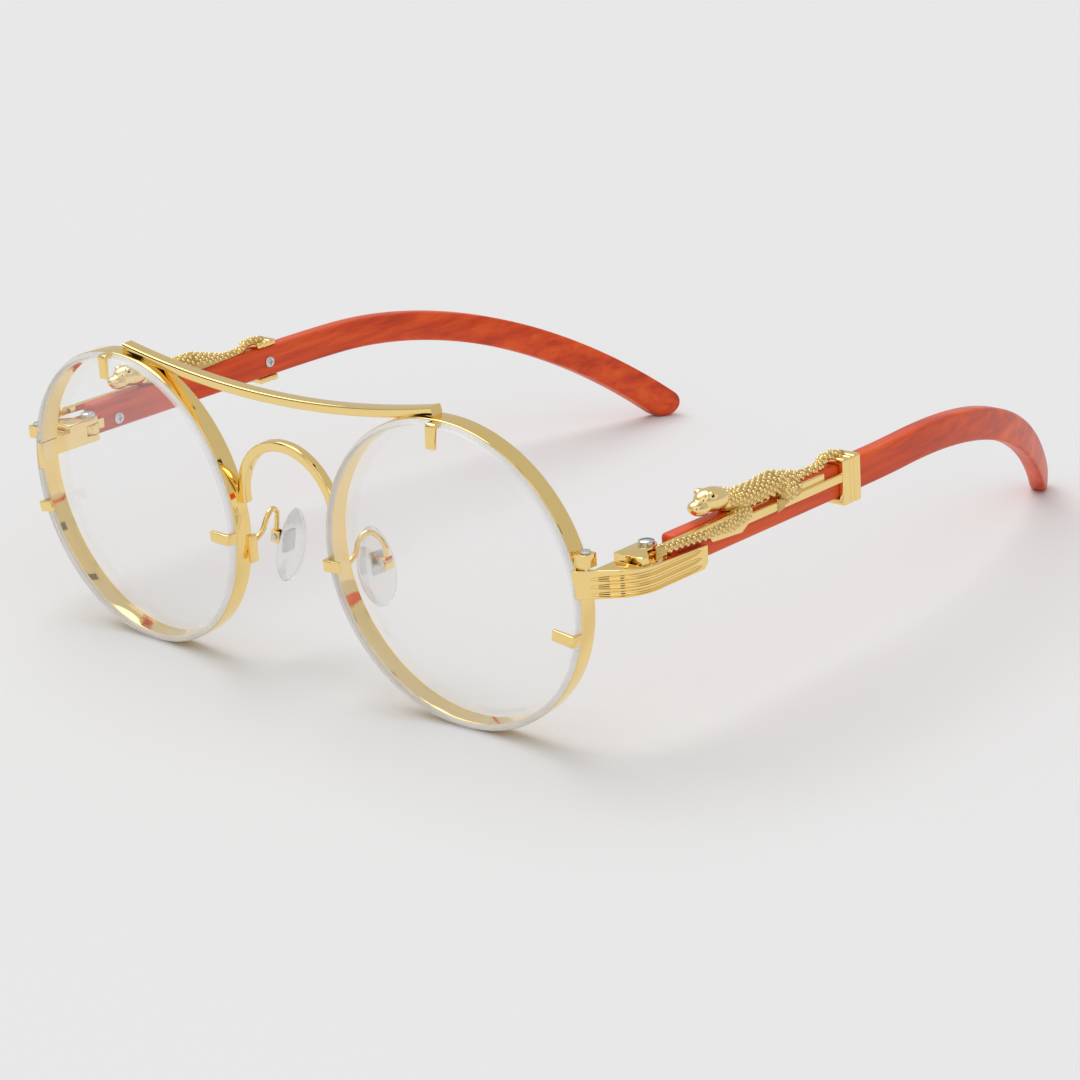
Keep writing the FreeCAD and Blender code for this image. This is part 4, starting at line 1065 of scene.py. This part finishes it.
def pad_arm_shape():
    """The bent wire from its solder foot on the rim to the pad box."""
    box_low, box_high = span("left_pad_box")
    box_middle = (box_low + box_high) / 2
    inner = RIM_CENTRE.x - RIM_R
    route = [
        Vector((inner, RIM_DEPTH - 0.5, 21.4)), Vector((10.5, 4.4, 22.4)), Vector((10.4, 5.7, 24.5)),
        Vector((10.8, 7.3, 25.3)), Vector((11.3, 8.7, 24.4)), Vector((12.2, 9.4, 22.6)),
        Vector((box_middle.x + 0.1, box_middle.y, box_high.z - 0.1)),
    ]
    foot = block((inner - 0.5, 1.3, 18.0), (inner + 0.4, RIM_DEPTH - 0.3, 22.6), 0.25, 4)
    return join(wire(route, 0.45), foot)


# ------------------------------------------------------------------ stage, lights and camera, in metres
PART_MIDDLE = Vector((0, 0, 0.03))


def soft_lamp(name, source, spread, strength):
    """A broad soft light from a direction, even over the whole floor."""
    light = bpy.data.lights.new(name, "SUN")
    light.angle = math.radians(spread)
    light.energy = strength
    lamp = bpy.data.objects.new(name, light)
    lamp.location = source
    lamp.rotation_mode = "QUATERNION"
    lamp.rotation_quaternion = (-Vector(source)).to_track_quat("-Z", "Y")
    bpy.context.scene.collection.objects.link(lamp)


def make_floor():
    """A plain pale floor just under the part."""
    paint = Paint("pale_floor")
    sheen = paint.noise(paint.place(), 3.0)
    paint.surface({
        "Base Color": paint.blend(sheen, rgba(0.80, 0.80, 0.80), rgba(0.81, 0.81, 0.81)),
        "Roughness": 0.9,
        "Specular IOR Level": 0.1,
    })
    bm = bmesh.new()
    bmesh.ops.create_grid(bm, x_segments=1, y_segments=1, size=3.0)
    floor = make_object("floor", bm, [paint.material])
    floor.location = (0, 0, cad_low.z - 0.00002)


def make_dark_panel(name, centre, width, height):
    """A dark panel that faces the part, seen only as a dark patch in polished metal."""
    paint = Paint(name)
    shade = paint.noise(paint.place(), 4.0)
    paint.surface({"Base Color": paint.blend(shade, rgba(0.015, 0.013, 0.01), rgba(0.03, 0.025, 0.02)),
                   "Roughness": 0.9, "Specular IOR Level": 0.0})
    bm = bmesh.new()
    bmesh.ops.create_grid(bm, x_segments=1, y_segments=1, size=0.5)
    bmesh.ops.scale(bm, vec=(width, height, 1), verts=bm.verts)
    turn = (PART_MIDDLE - Vector(centre)).to_track_quat("Z", "Y").to_matrix()
    placed(bm, turn, Vector(centre))
    panel = make_object(name, bm, [paint.material])
    panel.visible_camera = False
    panel.visible_diffuse = False
    panel.visible_shadow = False
    panel.visible_transmission = False


def make_world():
    """An even pale studio all round."""
    world = bpy.data.worlds.new("studio")
    bpy.context.scene.world = world
    world.use_nodes = True
    tree = world.node_tree
    tree.nodes.clear()
    out = tree.nodes.new("ShaderNodeOutputWorld")
    soft = tree.nodes.new("ShaderNodeBackground")
    soft.inputs["Color"].default_value = rgba(0.80, 0.80, 0.80)
    soft.inputs["Strength"].default_value = 0.72
    tree.links.new(soft.outputs[0], out.inputs["Surface"])


def make_camera():
    """The viewpoint: to the wearer's left of the front and a little above."""
    azimuth, elevation, roll = math.radians(43.084), math.radians(18.878), math.radians(-3.682)
    back = Vector((math.sin(azimuth) * math.cos(elevation), -math.cos(azimuth) * math.cos(elevation),
                   math.sin(elevation)))
    right = Vector((math.cos(azimuth), math.sin(azimuth), 0))
    up = back.cross(right)
    across = right * math.cos(roll) + up * math.sin(roll)
    upright = up * math.cos(roll) - right * math.sin(roll)
    data = bpy.data.cameras.new("camera")
    data.sensor_width = 36.0
    data.lens = 113.63
    data.clip_start = 0.01
    camera = bpy.data.objects.new("camera", data)
    turn = Matrix((across, upright, back)).transposed()
    camera.matrix_world = Matrix.Translation((0.37385, -0.34191, 0.19425)) @ turn.to_4x4()
    bpy.context.scene.collection.objects.link(camera)
    bpy.context.scene.camera = camera


make_rims()
make_lenses()
make_claws()
make_brow_bar()
make_bridge()
make_end_pieces()
make_rim_locks()
make_hinges()
make_arms()
make_clamps()
make_rails()
make_temple_screws()
make_salamanders()
make_pads()
make_floor()
make_world()
soft_lamp("key", (-0.5, 0.1, 1.0), 50.0, 1.25)
soft_lamp("fill", (0.7, -0.6, 0.8), 70.0, 0.35)
make_dark_panel("dark_panel_near", (0.75, -0.55, 0.28), 0.16, 0.8)
make_dark_panel("dark_panel_side", (0.95, 0.10, 0.45), 0.8, 0.12)
make_dark_panel("dark_panel_top", (0.45, 0.15, 1.0), 0.9, 0.10)
make_dark_panel("dark_panel_far", (-0.6, -0.6, 0.35), 0.12, 0.7)
make_camera()
bpy.context.scene.view_settings.view_transform = "Standard"
